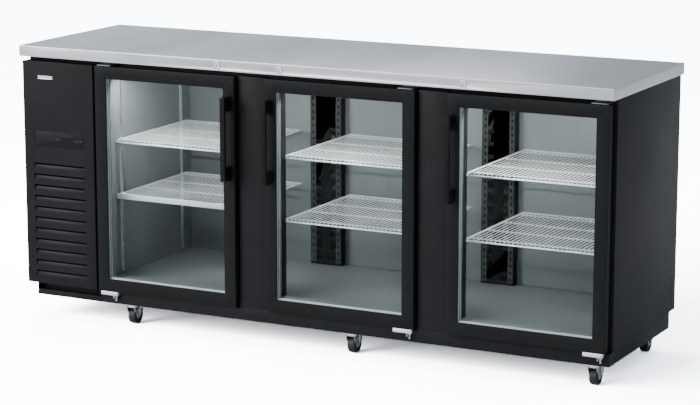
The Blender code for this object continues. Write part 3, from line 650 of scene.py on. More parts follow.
def makeDoors():
    low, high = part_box("door_frame_1")
    frontOne, bodyOne = makeDoorFrame(doorPlan, low, high)
    panesOne, spacerOne, retainerOne = makeGlazing(doorPlan, low, high)
    gasketOne = makeGasket(sealPlan, *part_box("door_gasket_1"))
    handleLow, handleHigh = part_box("door_handle_1")
    handleOne = makeHandle(handlePlan, handleLow, handleHigh)
    for index in (3, 2, 1):
        shift = (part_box(f"door_frame_{index}")[0].x - low.x, 0, 0)
        handleShift = (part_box(f"door_handle_{index}")[0].x - handleLow.x, 0, 0)
        body = f"door_{index}"
        parts = [
            (panesOne, f"panes_{index}", "door_glass", None, (f"door_glass_{index}",)),
            (spacerOne, f"glazing_spacer_{index}", "zinc_plated_steel", spacerMetal, ()),
            (retainerOne, f"glazing_retainer_{index}", "black_door_frame", revealPlastic, ()),
            (gasketOne, f"seal_{index}", "gasket_rubber", None, (f"door_gasket_{index}",)),
        ]
        rear = carveStrike(doorPlan, copied(bodyOne, "doorBody", shift), index)
        profile = joined(f"frame_{index}_profile", copied(frontOne, "doorFront", shift), rear)
        settle(profile, body, "black_door_frame", f"door_frame_{index}")
        for source, name, slot, finish, replaced in parts:
            piece = copied(source, name, shift)
            settle(piece, body, slot, *replaced, finish=finish)
        pull = copied(handleOne, f"pull_{index}", handleShift)
        settle(pull, body, "black_plastic", f"door_handle_{index}")
    for source in (frontOne, bodyOne, panesOne, spacerOne, retainerOne, gasketOne, handleOne):
        bpy.data.objects.remove(source)


makeDoors()
print("doors ready")


hingePlan = {
    "barHeight": 0.014, "barTop": 0.126, "barCorner": 0.003, "edge": 0.0015,
    "pin": 0.004, "pinAt": 0.005, "pinY": 0.009, "pinSunk": 0.001,
    "barScrews": (0.020, 0.042), "barScrew": 0.0038, "screw": 0.0065, "screwAt": 0.011, "screwFoot": 0.092,
    "hexDrop": 0.0065, "stem": 0.0042, "thread": 0.0050, "threadPitch": 0.0016, "threads": 7,
    "lugLeft": 0.0100, "lugRight": 0.0062, "lugDrop": 0.0120,
    "bolt": 0.0046, "boltAt": 0.0064, "boltRise": 0.0050,
    "plate": 0.003, "plateLow": 0.949, "plateCorner": 0.006,
    "plateScrews": (0.022, 0.044), "plateScrewY": 0.026, "plateScrew": 0.0042,
}


def makeScrewHead(name, centre, radius, axis=(0, -1, 0), height=0.0014):
    centre, axis = Vector(centre), Vector(axis)
    head = addRod(name, centre, centre + axis * height, radius, 20)

    def onFront(face):
        return face.normal.dot(axis) > 0.9

    shape(head, "FACE", onFront, inset(radius * 0.35), inset(radius * 0.2, -height * 0.6))
    return soften(head, radius * 0.12, 2, 35)


def makeBottomHinge(plan, low, high):
    barTop, barLow = plan["barTop"], plan["barTop"] - plan["barHeight"]
    bar = addBlock("hingeBar", (low.x, low.y, barLow), (high.x, high.y, barTop))
    roundCorners(bar, 1, plan["barCorner"], 4)
    soften(bar, plan["edge"], 3)
    pinX, pinY = low.x + plan["pinAt"], low.y + plan["pinY"]
    pin = addRod("hingePin", (pinX, pinY, barTop - plan["pinSunk"]), (pinX, pinY, high.z), plan["pin"])
    pieces = [bar, soften(pin, 0.0008)]
    for at in plan["barScrews"]:
        centre = (low.x + at, low.y + 0.0003, (barLow + barTop) / 2)
        pieces.append(makeScrewHead("hingeScrew", centre, plan["barScrew"], height=0.0006))
    return joined("bottomHinge", *pieces)


def makeAdjuster(plan, low, high):  # the levelling screw under the bar's right end
    barLow, foot = plan["barTop"] - plan["barHeight"], plan["screwFoot"]
    x, y = high.x - plan["screwAt"], low.y + plan["pinY"]
    hexLow = barLow - plan["hexDrop"]
    hexHead = addRod("adjusterHex", (x, y, hexLow), (x, y, barLow + 0.001), plan["screw"], 6)
    stem = addRod("adjusterStem", (x, y, foot), (x, y, barLow - 0.006), plan["stem"], 20)
    thread = addRod("adjusterThread", (x, y, foot + 0.0010), (x, y, foot + 0.0020), plan["thread"], 20)
    repeated(soften(thread, 0.0004, 1), plan["threads"], (0, 0, plan["threadPitch"]))
    lug = addBlock(
        "adjusterLug", (x - plan["lugLeft"], low.y + 0.0012, barLow - plan["lugDrop"]),
        (x - plan["lugRight"], high.y - 0.001, barLow + 0.001),
    )
    roundCorners(lug, 1, 0.0014, 3)
    centre = (x + plan["boltAt"], low.y + 0.0004, barLow + plan["boltRise"])
    bolt = makeScrewHead("adjusterBolt", centre, plan["bolt"], height=0.0016)
    return joined("adjuster", soften(hexHead, 0.0006), stem, thread, soften(lug, 0.0005, 2), bolt)


def makeTopHinge(plan, low, high, pinX):
    plateHigh = plan["plateLow"] + plan["plate"]
    plate = addBlock("hingePlate", (low.x, low.y, plan["plateLow"]), (high.x, high.y, plateHigh))
    shape(plate, "EDGE", edgesAlong(2, (1, low.y)), bevelEdges(plan["plateCorner"], 5))
    flange = addBlock("hingeFlange", (low.x, high.y - plan["plate"], plan["plateLow"]), high)
    pinY = low.y + plan["pinY"]
    pin = addRod("topPin", (pinX, pinY, low.z), (pinX, pinY, plateHigh), plan["pin"])
    pieces = [soften(plate, 0.0007, 2), soften(flange, 0.0007, 2), soften(pin, 0.0008, 2)]
    for at in plan["plateScrews"]:
        centre = (low.x + at, low.y + plan["plateScrewY"], plateHigh)
        pieces.append(makeScrewHead("plateScrew", centre, plan["plateScrew"], (0, 0, 1), 0.0016))
    return joined("topHinge", *pieces)


def makeRightHinge(plan, low, high):  # the pin at the right end, everything else as on the first
    hinge = makeBottomHinge(plan, low, high)
    pinFrom = Vector((low.x + plan["pinAt"], low.y + plan["pinY"]))

    def ofPin(vertex):
        height = vertex.co.z - plan["barTop"]
        within = (vertex.co.xy - pinFrom).length < plan["pin"] + nearby
        return height > nearby or (within and height > -plan["pinSunk"] - nearby)

    shape(hinge, "VERT", ofPin, move(x=high.x - low.x - 2 * plan["pinAt"]))
    return hinge


def makeHinges(plan):
    for index in (1, 2, 3):
        low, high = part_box(f"bottom_hinge_{index}")
        bar = makeBottomHinge(plan, low, high) if index == 1 else makeRightHinge(plan, low, high)
        bar.name = f"hinge_bar_{index}"
        settle(bar, "cabinet", "zinc_plated_steel", f"bottom_hinge_{index}")
        adjuster = makeAdjuster(plan, low, high)
        adjuster.name = f"hinge_adjuster_{index}"
        # painted shade: the levelling screw takes the darkened zinc with painted glints
        settle(adjuster, "cabinet", "zinc_plated_steel", finish=shadedZincGlints)
        low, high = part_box(f"top_hinge_{index}")
        pinX = low.x + plan["pinAt"] if index == 1 else high.x - plan["pinAt"]
        top = makeTopHinge(plan, low, high, pinX)
        top.name = f"hinge_plate_{index}"
        # painted shade: the top hinge takes the darkened copy of the zinc plate
        settle(top, "cabinet", "zinc_plated_steel", f"top_hinge_{index}", finish=shadowedZinc)


makeHinges(hingePlan)
print("hinges ready")


grillePlan = {
    "sheet": 0.0020, "edge": 0.0012, "back": -0.300, "cutOver": 0.01, "seam": 0.0002,
    "slotLow": 0.169, "slotHeight": 0.007, "slotPitch": 0.040, "slotCount": 11, "slotLeft": -1.085,
    "slotRight": -0.866, "slotCorner": 0.0012, "tick": 0.0030,
    "ramp": 0.0125, "rampDepth": 0.0036, "blade": 0.0014, "bladeFold": 0.0040, "cheek": 0.0012,
    "windowLow": (-1.081, 0.639), "windowHigh": (-0.866, 0.695), "windowCorner": 0.004,
    "screenGap": 0.012, "screenFront": 0.018, "screenBack": 0.0195, "screenLow": 0.02, "screenTop": 0.625,
    "hemGap": 0.002, "hemWidth": 0.004, "hemBack": -0.271,
}


def cutPanel(plan, tray, front):  # the louvres' slots and the controller's window
    over, ramp = plan["cutOver"], plan["slotLow"] - plan["ramp"]
    slot = addBlock(
        "slotCutter", (plan["slotLeft"], front - over, ramp),
        (plan["slotRight"], front + over, plan["slotLow"] + plan["slotHeight"]),
    )
    roundCorners(slot, 1, plan["slotCorner"], 3)
    repeated(slot, plan["slotCount"], (0, 0, plan["slotPitch"]))
    carve(tray, slot)
    (left, bottom), (right, top) = plan["windowLow"], plan["windowHigh"]
    window = addBlock("windowCutter", (left, front - over, bottom), (right, front + over, top))
    roundCorners(window, 1, plan["windowCorner"], 4)
    carve(tray, window)


def makeLouvres(plan, front):
    seam, level, right = plan["seam"], plan["slotLow"], plan["slotRight"]
    foot = level - plan["ramp"]
    blade = addBlock(
        "louvreBlade", (plan["slotLeft"] + plan["tick"], front, foot + 0.0001),
        (right - seam, front + plan["blade"], level),
    )
    shape(blade, "FACE", facing(2, 1), move(y=plan["rampDepth"]))
    shape(blade, "FACE", facing(2, 1), push(y=plan["bladeFold"], z=0.0006))
    soften(blade, 0.0005, 2, 15)
    cheek = addBlock(
        "louvreCheek", (right - plan["cheek"], front + 2 * seam, foot + 0.001),
        (right - seam, front + plan["rampDepth"], level + 0.003),
    )
    louvres = joined("louvreSet", blade, soften(cheek, 0.0003, 1))
    repeated(louvres, plan["slotCount"], (0, 0, plan["slotPitch"]))
    return smooth(louvres)


def makeGrille(plan):
    low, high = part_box("front_grille")
    tray = addBlock("louvred_panel", low, (high.x, plan["back"], high.z))

    def onFront(edge):
        return max(v.co.y for v in edge.verts) < low.y + nearby

    shape(tray, "EDGE", onFront, bevelEdges(plan["edge"], 3))
    hollow = push(y=low.y + plan["sheet"] - plan["back"])
    shape(tray, "FACE", facing(1, 1), inset(plan["sheet"]), hollow)
    cutPanel(plan, tray, low.y)
    smooth(tray)
    tray = joined("louvred_panel", tray, makeLouvres(plan, low.y))
    settle(tray, "cabinet", "black_painted_steel", "front_grille")
    gap = plan["screenGap"]
    screen = addBlock(
        "intake_screen", (low.x + gap, low.y + plan["screenFront"], low.z + plan["screenLow"]),
        (high.x - gap, low.y + plan["screenBack"], plan["screenTop"]),
    )
    shape(screen, "FACE", facing(1, -1), inset(0.006), inset(0.004, -0.0008))
    soften(screen, 0.0004, 1)
    settle(screen, "cabinet", "black_plastic")
    gap, wide = plan["hemGap"], plan["hemWidth"]
    hem = makeRing(
        "panel_hem", (low.x + gap, plan["back"] + 0.0003, low.z + 0.0003),
        (high.x - gap, plan["hemBack"], high.z - 0.0003),
        (low.x + wide, 0, low.z + wide), (high.x - wide, 0, high.z - wide),
    )
    settle(soften(hem, 0.0006, 2), "cabinet", "black_painted_steel")


controllerPlan = {
    "setback": 0.0003, "gap": 0.0007, "corner": 0.0036, "edge": 0.0006,
    "display": (0.118, 0.166), "displayDrop": 0.011, "displayRise": 0.013,
    "keys": (0.094, 0.104, 0.176, 0.188, 0.200), "keyHalf": 0.003,
    "bar": (0.124, 0.160), "barLow": 0.0135, "barHigh": 0.0150,
}


def makeController(plan, window):
    low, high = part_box("controller")
    face, gap = low.y + plan["setback"], plan["gap"]
    (left, bottom), (right, top) = window["windowLow"], window["windowHigh"]
    panel = addBlock("controller_face", (left + gap, face, bottom + gap), (right - gap, high.y, top - gap))
    roundCorners(panel, 1, plan["corner"], 4)
    soften(panel, plan["edge"], 2)
    settle(panel, "cabinet", "black_painted_steel", "controller")
    middle = (bottom + top) / 2
    start, end = plan["display"]
    display = addBlock(
        "controller_display", (left + start, face - 0.0002, middle - plan["displayDrop"]),
        (left + end, face + 0.002, middle + plan["displayRise"]),
    )
    roundCorners(display, 1, 0.002, 3)
    soften(display, 0.0002, 1)
    settle(display, "cabinet", "black_plastic", finish=displayGloss)
    half, marks = plan["keyHalf"], []
    for place in plan["keys"]:
        x = left + place
        key = addBlock(
            "keyMark", (x - half, face - 0.00015, middle - half), (x + half, face + 0.0005, middle + half)
        )
        roundCorners(key, 1, 0.0012, 3)
        shape(key, "FACE", facing(1, -1), inset(0.0008, -0.0001))
        marks.append(key)
    start, end = plan["bar"]
    bar = addBlock(
        "displayBar", (left + start, face - 0.0004, middle + plan["barLow"]),
        (left + end, face + 0.0005, middle + plan["barHigh"]),
    )
    marks.append(soften(bar, 0.0002, 1))
    settle(joined("controller_keys", *marks), "cabinet", "black_plastic", finish=keyMark)


platePlan = {"left": 0.066, "right": 0.128, "bottom": 0.062, "top": 0.050, "proud": 0.0008, "sunk": 0.0002}


def makeNameplate(plan):  # a small blank plate, with nothing written on it
    low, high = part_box("front_grille")
    plate = addBlock(
        "blank_plate", (low.x + plan["left"], low.y - plan["proud"], high.z - plan["bottom"]),
        (low.x + plan["right"], low.y + plan["sunk"], high.z - plan["top"]),
    )
    roundCorners(plate, 1, 0.002, 4)
    shape(plate, "FACE", facing(1, -1), inset(0.0012), inset(0.0005, -0.0003))
    soften(plate, 0.0002, 2)
    settle(plate, "cabinet", "satin_stainless")


makeGrille(grillePlan)
makeController(controllerPlan, grillePlan)
makeNameplate(platePlan)
print("louvred panel ready")


trayPlan = {
    "inset": 0.029, "sheet": 0.0018, "lip": 0.0190, "lipProud": 0.0240, "foldProud": 0.0008, "seam": 0.0002,
    "edge": 0.0008,
}


def makeTray(plan):  # the recessed base under the louvred panel: a kick plate, a side and a folded lip
    tray = fromNode("machine_base", "machine_tray", 0.0006)
    low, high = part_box("machine_base")
    left, right, top = low.x + plan["inset"], high.x - 0.0005, high.z - 0.0025
    sheet, front, seam = plan["sheet"], low.y + plan["lipProud"], plan["seam"]
    kick = addBlock("kickPlate", (left, front, low.z + seam), (right, front + sheet, top))
    side = addBlock("traySide", (left, low.y + 0.0006, low.z + seam), (left + sheet, high.y - 0.010, top))
    lip = addBlock("trayLip", (left, low.y, low.z), (right, front, low.z + sheet))
    proud = low.y - plan["foldProud"]
    fold = addBlock("trayFold", (left, proud, low.z - seam), (right, proud + sheet, low.z + plan["lip"]))
    shape(fold, "FACE", facing(2, 1), push(y=0.0030, z=0.0012))
    pieces = [soften(piece, plan["edge"], 2, 25) for piece in (kick, side, lip, fold)]
    settle(joined("machine_tray", tray, *pieces), "cabinet", "black_painted_steel", "machine_base")


padLevel = 0.0789  # only the caster pads' undersides lie below it


def makeShell():
    liner, zinc = finishes["interior_liner"], finishes["zinc_plated_steel"]
    right = fromNode("right_wall", "right_side_panel", 0.0016, 3)
    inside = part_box("right_wall")[0].x
    settle(right, "cabinet", "black_painted_steel", "right_wall")
    paintFaces(right, liner, lambda at, n: n.x < -0.9 and at.x < inside + 0.002)
    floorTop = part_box("floor_panel")[1].z
    floor = fromNode("floor_panel", "cabinet_floor", 0.0008)
    settle(floor, "cabinet", "black_painted_steel", "floor_panel")
    paintFaces(floor, liner, lambda at, n: at.z > floorTop - 0.002)
    paintFaces(floor, zinc, lambda at, n: at.z < padLevel)
    ceiling = fromNode("ceiling_panel", "cabinet_roof", 0.0010)
    settle(ceiling, "cabinet", "black_painted_steel", "ceiling_panel")
    paintFaces(ceiling, liner, lambda at, n: n.z < -0.9)
    back = fromNode("back_wall", "cabinet_back", 0.0010)
    settle(back, "cabinet", "black_painted_steel", "back_wall")
    paintFaces(back, liner, lambda at, n: n.y < -0.9)
    divider = fromNode("divider_wall", "machine_divider", 0.0010)
    settle(divider, "cabinet", "interior_liner", "divider_wall")
    for side in ("left", "right"):
        post = fromNode(f"post_{side}", f"door_post_{side}", 0.0012, 3)
        settle(post, "cabinet", "black_painted_steel", f"post_{side}")
        duct = fromNode(f"air_duct_{side}", f"air_channel_{side}", 0.0006)
        settle(duct, "cabinet", "dark_duct", f"air_duct_{side}")
    for node, name, width in (
        ("bottom_rail", "kick_rail", 0.0012), ("machine_side_panel", "left_side_panel", 0.0012),
        ("rear_grille", "rear_vent_panel", 0.0004),
    ):
        settle(fromNode(node, name, width), "cabinet", "black_painted_steel", node)


makeShell()
makeTray(trayPlan)
print("shell ready")


shelfPlan = {
    "wire": 0.0017, "pitch": 0.0160, "rail": 0.0031, "drop": 0.0105,
    "cross": 0.0026, "crossCount": 4, "crossStart": 0.03, "strip": 0.0165, "stripProud": 0.0012,
}


def makeShelf(plan, low, high, deepFront):
    wire, rail, cross = plan["wire"], plan["rail"], plan["cross"]
    count = int((high.x - low.x - 4 * rail) / plan["pitch"]) + 1
    start = (low.x + high.x) / 2 - (count - 1) * plan["pitch"] / 2
    z = high.z - wire
    rod = addRod("longWire", (start, low.y + rail * 1.5, z), (start, high.y - rail * 0.5, z), wire, 8)
    bends = (push(y=-rail * 0.6, z=-0.0004), push(y=-rail * 0.3, z=-0.0020), push(z=-plan["drop"] * 0.8))
    shape(rod, "FACE", facing(1, -1), *bends)
    repeated(rod, count, (plan["pitch"], 0, 0))
    pieces = [rod]
    crossZ = high.z - 2 * wire - cross * 0.9
    step = (high.y - low.y - 2 * plan["crossStart"]) / (plan["crossCount"] - 1)
    crossY = low.y + plan["crossStart"]
    bar = addRod("crossWire", (low.x + rail, crossY, crossZ), (high.x - rail, crossY, crossZ), cross, 10)
    pieces.append(repeated(bar, plan["crossCount"], (0, step, 0)))
    railZ = high.z - rail - 0.0004
    frontZ = high.z - plan["drop"]
    front = addRod("frontRail", (low.x, low.y + rail, frontZ), (high.x, low.y + rail, frontZ), rail, 12)
    pieces.append(soften(front, 0.0008, 2))
    if deepFront:  # a folded strip clipped over the front wires
        foot = (low.x, low.y - plan["stripProud"], high.z - plan["strip"])
        strip = addBlock("railStrip", foot, (high.x, low.y, high.z + 0.0006))
        shape(strip, "FACE", facing(2, 1), push(y=0.006, z=0.0012))
        shape(strip, "FACE", facing(2, -1), push(y=0.0025, z=-0.0015))
        pieces.append(soften(strip, 0.0005, 2, 25))
    for x in (low.x + rail, high.x - rail):
        side = addRod("sideRail", (x, low.y + rail, railZ), (x, high.y, railZ), rail, 12)
        pieces.append(soften(side, 0.0008, 2))
    backRail = addRod("backRail", (low.x, high.y - rail, railZ), (high.x, high.y - rail, railZ), rail, 12)
    pieces.append(soften(backRail, 0.0008, 2))
    return smooth(joined("shelf", *pieces), 45)


def makeShelves(plan):
    for index in (1, 2, 3):
        low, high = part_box(f"shelf_{index}_lower")
        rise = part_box(f"shelf_{index}_upper")[0].z - low.z
        lower = makeShelf(plan, low, high, False)
        upper = copied(lower, f"wire_shelf_{index}_upper", (0, 0, rise))
        if index == 1:
            bpy.data.objects.remove(lower)
            lower = makeShelf(plan, low, high, True)
        lower.name = f"wire_shelf_{index}_lower"
        settle(lower, "cabinet", "white_coated_wire", f"shelf_{index}_lower")
        settle(upper, "cabinet", "white_coated_wire", f"shelf_{index}_upper")


makeShelves(shelfPlan)
print("shelves ready")


uprightPlan = {
    "width": 0.016, "depth": 0.0030, "slotWidth": 0.0045, "slotHeight": 0.012, "pitch": 0.0250,
    "bottom": 0.180, "top": 0.905, "wallGap": 0.0003, "places": (-0.205, 0.215),
    "clipOut": 0.010, "clipHalf": 0.006, "clipLow": 0.010, "clipHigh": 0.0072,
    "tailOut": 0.0022, "tailHalf": 0.003, "tailLow": 0.022, "tailHigh": 0.0065,
}


def makeUpright(plan, x, y, normalX):  # a slotted strip on a wall that faces along x
    count = int((plan["top"] - plan["bottom"]) / plan["pitch"])
    near, far = sorted((x, x + normalX * plan["depth"]))
    half, slotHalf = plan["width"] / 2, plan["slotWidth"] / 2
    bottom, gap = plan["bottom"], (plan["pitch"] - plan["slotHeight"]) / 2
    unit = makeRing(
        "uprightUnit", (near, y - half, bottom), (far, y + half, bottom + plan["pitch"]),
        (0, y - slotHalf, bottom + gap), (0, y + slotHalf, bottom + plan["pitch"] - gap), axis=0,
    )

    def atEnds(face):
        z = face.calc_center_median().z
        return abs(face.normal.z) > 0.9 and (z < bottom + nearby or z > bottom + plan["pitch"] - nearby)

    shape(unit, "FACE", atEnds, (bpy.ops.mesh.delete, {"type": "FACE"}))
    modify(
        unit, "ARRAY", count=count, use_relative_offset=False, use_constant_offset=True,
        constant_offset_displace=(0, 0, plan["pitch"]), use_merge_vertices=True, merge_threshold=nearby,
    )
    shape(unit, "EDGE", lambda e: e.is_boundary, (bpy.ops.mesh.fill_holes, {"sides": 0}))

    def onOutside(edge):
        return edgesAlong(2)(edge) and abs(abs(edge.verts[0].co.y - y) - half) < nearby

    shape(unit, "EDGE", onOutside, bevelEdges(0.0008, 2))
    return smooth(unit)


def makeClip(plan, x, y, z, normalX):
    def clipBlock(name, out, half, lowZ, highZ):
        near, far = sorted((x, x + out * normalX))
        return addBlock(name, (near, y - half, z - lowZ), (far, y + half, z - highZ))

    clip = clipBlock("shelfClip", plan["clipOut"], plan["clipHalf"], plan["clipLow"], plan["clipHigh"])
    shape(clip, "FACE", facing(0, -normalX), inset(0.001))
    tail = clipBlock("clipTail", plan["tailOut"], plan["tailHalf"], plan["tailLow"], plan["tailHigh"])
    return joined("shelfClip", soften(clip, 0.0006, 2), soften(tail, 0.0005, 2))


def makeUprights(plan):
    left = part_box("divider_wall")[1].x + plan["wallGap"]
    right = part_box("right_wall")[0].x - plan["wallGap"]
    number = 0
    for x, normalX, section in ((left, 1, 1), (right, -1, 3)):
        shelfZ = [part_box(f"shelf_{section}_{level}")[1].z for level in ("lower", "upper")]
        for y in plan["places"]:
            number += 1
            strip = makeUpright(plan, x, y, normalX)
            strip.name = f"shelf_upright_{number}"
            settle(strip, "cabinet", "zinc_plated_steel")
            face = x + normalX * plan["depth"]
            clips = joined("clips", *[makeClip(plan, face, y, z, normalX) for z in shelfZ])
            clips.name = f"shelf_clips_{number}"
            settle(clips, "cabinet", "zinc_plated_steel")


channelPlan = {
    "width": 0.020, "depth": 0.0030, "slotWidth": 0.0090, "slotHeight": 0.012, "pitch": 0.0250,
    "bottom": 0.180, "top": 0.905, "edgeGap": 0.004, "wallGap": 0.0003,
}


def makeChannelStrips(plan):  # slotted strips along both edges of each air channel
    for side in ("left", "right"):
        low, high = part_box(f"air_duct_{side}")
        strips = []
        fromEdge = plan["edgeGap"] + plan["width"] / 2
        for x in (low.x + fromEdge, high.x - fromEdge):
            strip = makeUpright(plan, 0, 0, 1)
            # made facing along x, then turned to face the doors
            place = Matrix.Translation((x, low.y - plan["wallGap"], 0))
            strip.data.transform(place @ Matrix.Rotation(-math.pi / 2, 4, "Z"))
            strips.append(strip)
        strips = joined(f"channel_strips_{side}", *strips)
        settle(strips, "cabinet", "dark_duct", finish=stripPaint)


lampPlan = {
    "width": 0.016, "height": 0.009, "setback": 0.010, "endGap": 0.020, "roofGap": 0.0004,
    "frame": 0.0016, "lensDrop": 0.0010, "lensRise": 0.003, "lensEdge": 0.0022,
}


def makeLamps(plan):  # a strip lamp under the roof, behind each door's top band
    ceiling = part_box("ceiling_panel")[0].z
    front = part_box("ceiling_panel")[0].y + plan["setback"]
    for index in (1, 2, 3):
        low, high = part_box(f"shelf_{index}_upper")
        left, right = low.x + plan["endGap"], high.x - plan["endGap"]
        back, top = front + plan["width"], ceiling - plan["roofGap"]
        bottom = top - plan["height"]
        channel = addBlock("lampChannel", (left, front, bottom), (right, back, top))
        shape(channel, "FACE", facing(2, -1), inset(0.0012), push(z=0.004))
        settle(soften(channel, 0.0004, 1), "cabinet", "zinc_plated_steel", finish=spacerMetal)
        channel.name = f"lamp_channel_{index}"
        frame = plan["frame"]
        glow = addBlock(
            f"lamp_diffuser_{index}", (left + frame, front + frame, bottom - plan["lensDrop"]),
            (right - frame, back - frame, bottom + plan["lensRise"]),
        )
        shape(glow, "EDGE", edgesAlong(0, (2, bottom - plan["lensDrop"])), bevelEdges(plan["lensEdge"], 4))
        smooth(glow)
        settle(glow, "cabinet", "white_coated_wire", finish=lampGlow)


makeUprights(uprightPlan)
makeChannelStrips(channelPlan)
makeLamps(lampPlan)
print("uprights and lamps ready")


casterPlan = {
    "padTop": 0.076, "topGap": 0.0003, "race": 0.0235, "raceHeight": 0.009, "legGap": 0.0150, "leg": 0.0025,
    "trail": 0.016, "swivel": 0.021, "wheel": 0.030, "halfTread": 0.0142, "axle": 0.0040,
    "nut": 0.0062, "nutHeight": 0.0018, "kingPin": 0.005, "rivet": 0.0078,
    "rings": ((0.0075, 0.0), (0.0012, -0.0022), (0.0085, 0.0), (0.0012, 0.0020)),
    "bolt": 0.0045, "boltX": 0.0205, "boltY": 0.026,
}


def makeLeg(plan, x, y, crown):  # one cheek of the fork, narrowing twice on its way to the axle
    inner, outer = x + plan["legGap"], x + (plan["legGap"] + plan["leg"])
    axleY, axleZ = y + plan["trail"], plan["wheel"]
    leg = addBlock("casterLeg", (inner, y - 0.0165, crown - 0.010), (outer, y + 0.0195, crown + 0.0005))
    shape(
        leg, "FACE", facing(2, -1), push(z=-0.012), grow(1, 0.72, 1, (x, axleY - 0.002, crown)),
        push(z=axleZ - 0.009 - (crown - 0.022)), grow(1, 0.62, 1, (x, axleY, axleZ)),
    )

    def atFoot(edge):
        return edgesAlong(0)(edge) and max(v.co.z for v in edge.verts) < axleZ

    shape(leg, "EDGE", atFoot, bevelEdges(0.004, 5))
    return soften(leg, 0.0007, 2, 25)


def makePedal(outside, axleY, axleZ, crown):  # the brake lever outside the right cheek
    pedal = addBlock(
        "brakePedal", (outside + 0.0008, axleY - 0.004, axleZ + 0.004),
        (outside + 0.0030, axleY + 0.010, crown - 0.004),
    )
    shape(pedal, "FACE", facing(0, 1), inset(0.0022, 0.0), push(x=0.0022))
    narrowed = grow(1, 1, 0.6, (outside, axleY, axleZ + 0.018))
    shape(pedal, "FACE", facing(1, 1), narrowed, push(y=0.006, z=0.003))
    return soften(pedal, 0.0007, 3, 25)


def makeFork(plan, x, y):
    top = plan["padTop"] - plan["topGap"]
    crown = top - plan["raceHeight"]
    race = addRod("caster_race", (x, y, crown), (x, y, top), plan["race"], 36)
    shape(race, "FACE", facing(2, 1), inset(0.004, 0.0))
    shape(race, "FACE", facing(2, -1), grow(0.86, 0.86, 1, (x, y, crown)))
    soften(race, 0.0018, 3, 35)
    outer = plan["legGap"] + plan["leg"]
    left, right = x - outer, x + outer
    front, back = y - 0.0185, y + 0.0205
    saddle = addBlock("casterSaddle", (left, front, crown - 0.0025), (right, back, crown + 0.0008))
    roundCorners(saddle, 2, 0.007, 5)
    soften(saddle, 0.0007, 2)
    leg = makeLeg(plan, x, y, crown)
    twin = copied(leg, "casterLegTwin", mirrorAt=x)
    axleY, axleZ, nut, high = y + plan["trail"], plan["wheel"], plan["nut"], plan["nutHeight"]
    start, end = (left - 0.001, axleY, axleZ), (right + 0.001, axleY, axleZ)
    axle = addRod("casterAxle", start, end, plan["axle"], 20)
    head = addRod("axleHead", (right, axleY, axleZ), (right + high, axleY, axleZ), nut, 6)
    tail = addRod("axleNut", (left - high, axleY, axleZ), (left, axleY, axleZ), nut, 6)
    pin = addRod("kingPin", (x, y, crown), (x, y, plan["padTop"] + 0.013), plan["kingPin"], 16)
    rivet = addRod("kingRivet", (x, y, crown - 0.0045), (x, y, crown), plan["rivet"], 24)
    axleSet = soften(axle, 0.0006), soften(head, 0.0005), soften(tail, 0.0005)
    pedal = makePedal(right, axleY, axleZ, crown)
    return joined("fork", race, saddle, leg, twin, *axleSet, pin, soften(rivet, 0.0012, 3), pedal)


def makeWheel(plan, x, axleY):
    r, half = plan["wheel"], plan["halfTread"]
    wheel = addRod("wheel", (x - half, axleY, r), (x + half, axleY, r), r, 56)

    def onSides(face):
        return abs(face.normal.x) > 0.9 and len(face.verts) > 8

    def onRim(edge):
        away = [abs((v.co.yz - Vector((axleY, r))).length - r) for v in edge.verts]
        return max(away) < nearby and not edgesAlong(0)(edge)

    settings = [{"thickness": wide, "depth": deep, "use_individual": True} for wide, deep in plan["rings"]]
    shape(wheel, "FACE", onSides, *[(bpy.ops.mesh.inset, chosen) for chosen in settings])
    shape(wheel, "EDGE", onRim, bevelEdges(0.0035, 5))
    carve(wheel, addRod("axleBore", (x - 0.02, axleY, r), (x + 0.02, axleY, r), plan["axle"] + 0.0006, 24))
    return smooth(wheel, 35)


def makeCasters(plan):
    forkLow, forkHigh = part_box("caster_fork_1")
    x, y = (forkLow.x + forkHigh.x) / 2, forkLow.y + plan["swivel"]
    crown = plan["padTop"] - plan["raceHeight"]
    fork, wheel = makeFork(plan, x, y), makeWheel(plan, x, y + plan["trail"])
    bolt = makeScrewHead("padBolt", (x, y, plan["padTop"]), plan["bolt"], (0, 0, -1), 0.0022)
    corners = [(dx, dy) for dx in (-plan["boltX"], plan["boltX"]) for dy in (-plan["boltY"], plan["boltY"])]
    for index in range(1, 7):
        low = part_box(f"caster_fork_{index}")[0]
        shift = (low.x - forkLow.x, low.y - forkLow.y, 0)
        # painted shade: the yoke takes the darkened zinc with painted glints, while the race's top faces
        # keep the bright zinc
        yoke = settle(
            copied(fork, f"caster_yoke_{index}", shift), f"caster_{index}_swivel", "zinc_plated_steel",
            f"caster_fork_{index}", finish=shadedZincGlints,
        )
        paintedShadeLimit = x + shift[0] - 0.010  # painted shade: the race's left side is painted black where it falls in shadow
        paintFaces(yoke, finishes["zinc_plated_steel"], lambda at, n: at.z > crown - 0.001 and n.y < 0.4)
        paintFaces(yoke, finishes["black_plastic"], lambda at, n: at.z > crown and at.x < paintedShadeLimit)
        tyre = copied(wheel, f"tyre_{index}", shift)
        settle(tyre, f"caster_{index}_wheel", "wheel_rubber", f"caster_wheel_{index}")
        bolts = [copied(bolt, "padBolt", (shift[0] + dx, shift[1] + dy, 0)) for dx, dy in corners]
        settle(joined(f"pad_bolts_{index}", *bolts), "cabinet", "zinc_plated_steel")
    for source in (fork, wheel, bolt):
        bpy.data.objects.remove(source)


makeCasters(casterPlan)
print("casters ready")


stagePlan = {
    "floorSize": 80.0, "floorTone": (0.90, 0.90, 0.905), "worldFill": 0.50, "floorLift": 13.0,
    "lens": 120.925, "cameraAt": (3.7722, -7.2862, 2.14335), "cameraPitch": 0.20128, "cameraYaw": 0.47306,
}


